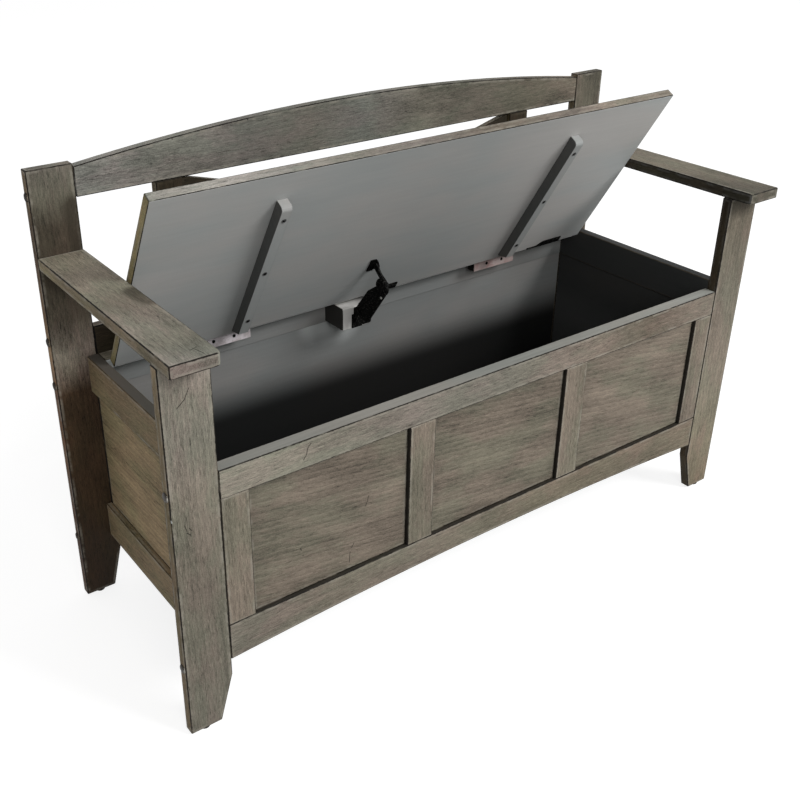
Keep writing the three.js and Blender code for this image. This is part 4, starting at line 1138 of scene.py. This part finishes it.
def addWingPlate(sizes):
    # the side wing of the damper's bracket, flat on the block's front
    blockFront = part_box("stay_block")[0][1]
    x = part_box("stay_bracket")[1][0] + sizes["width"] / 2
    middle = (x, blockFront + sizes["sunk"], (sizes["low"] + sizes["high"]) / 2)
    mesh = flatPlate(sizes["width"], sizes["high"] - sizes["low"], sizes["thick"], sizes["corner"])
    bmesh.ops.transform(mesh, matrix=facing(front, middle), verts=mesh.verts)
    addPiece("stay_wing_plate", mesh, "bench", "black")
    screws = bmesh.new()
    for share in sizes["screwShares"]:
        height = sizes["low"] + share * (sizes["high"] - sizes["low"])
        seat = (x + sizes["screwAside"], blockFront - sizes["thick"] + sizes["screwSunk"], height)
        screwHead(screws, seat, front, sizes["screwRadius"], sizes["screwHeight"])
    addPiece("stay_wing_screws", screws, "bench", "black")


def jointPoint(name):
    joint = next(joint for joint in frame["joints"] if joint["name"] == name)
    return Vector(joint["pos_m"])


stayCap = {  # radius and height of the ribbed cap on the damper's disc
    "profile": (
        (0, 0), (0.0146, 0), (0.0146, 0.0006), (0.0138, 0.0014), (0.0124, 0.0014), (0.0116, 0.0007),
        (0.0098, 0.0007), (0.0090, 0.0016), (0.0074, 0.0016), (0.0066, 0.0009), (0.0046, 0.0009),
        (0.0038, 0.0018), (0.0020, 0.0021), (0, 0.0021),
    ),
}
stayRivet = {
    "place": (0.0765, 0.5185),  # on the arm, below its disc
    "profile": ((0, 0), (0.0027, 0), (0.0026, 0.0006), (0.0019, 0.0012), (0.0009, 0.0015), (0, 0.0016)),
}
stayRibs = {
    "width": 0.0018, "height": 0.0007, "offsets": (-0.0085, -0.001, 0.0075), "from": 0.13, "to": 0.66,
    "armInset": 0.004,  # the arm's flat lies this far inside its disc
    "taper": (0.985, 0.7, 1),
}


def addStayDetails():
    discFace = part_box("stay_arm")[0][0]
    elbow, pivot = jointPoint("stay_link_pivot"), jointPoint("stay_arm_pivot")
    cap = bmesh.new()
    turned(cap, stayCap["profile"], (discFace, elbow.y, elbow.z), -xAxis)
    addPiece("stay_disc_cap", cap, "stay_arm", "black")
    armFace = discFace + stayRibs["armInset"]
    rivet = bmesh.new()
    turned(rivet, stayRivet["profile"], (armFace, *stayRivet["place"]), -xAxis, 24)
    addPiece("stay_rivet", rivet, "stay_arm", "steel")
    along = elbow - pivot
    along.x = 0
    across = xAxis.cross(along).normalized()
    share = (stayRibs["from"] + stayRibs["to"]) / 2
    length = along.length * (stayRibs["to"] - stayRibs["from"])
    turn = Matrix((along.normalized(), -xAxis.cross(along.normalized()), -xAxis)).transposed().to_4x4()
    ribs = bmesh.new()
    for offset in stayRibs["offsets"]:
        known = set(ribs.verts)
        bmesh.ops.create_grid(ribs, x_segments=1, y_segments=1, size=0.5)
        made = newVerts(ribs, known)
        bmesh.ops.scale(ribs, verts=made, vec=(length, stayRibs["width"], 1))
        lifted = bmesh.ops.extrude_face_region(ribs, geom=facesOf(made))["geom"]
        topVerts = [item for item in lifted if isinstance(item, bmesh.types.BMVert)]
        bmesh.ops.translate(ribs, verts=topVerts, vec=(0, 0, stayRibs["height"]))
        bmesh.ops.scale(ribs, verts=topVerts, vec=stayRibs["taper"])
        middle = pivot + along * share + across * offset
        made = newVerts(ribs, known)
        place = Matrix.Translation((armFace, middle.y, middle.z))
        bmesh.ops.transform(ribs, matrix=place @ turn, verts=made)
    bmesh.ops.recalc_face_normals(ribs, faces=ribs.faces)
    addPiece("stay_ribs", ribs, "stay_arm", "black")


for side in ("left", "right"):
    addBattenScrews(side, battenScrews)
    addLeafScrews(side, leafScrews)
addCatchPlate(catchPlate)
addWingPlate(wingPlate)
addStayDetails()
print("small pieces added")
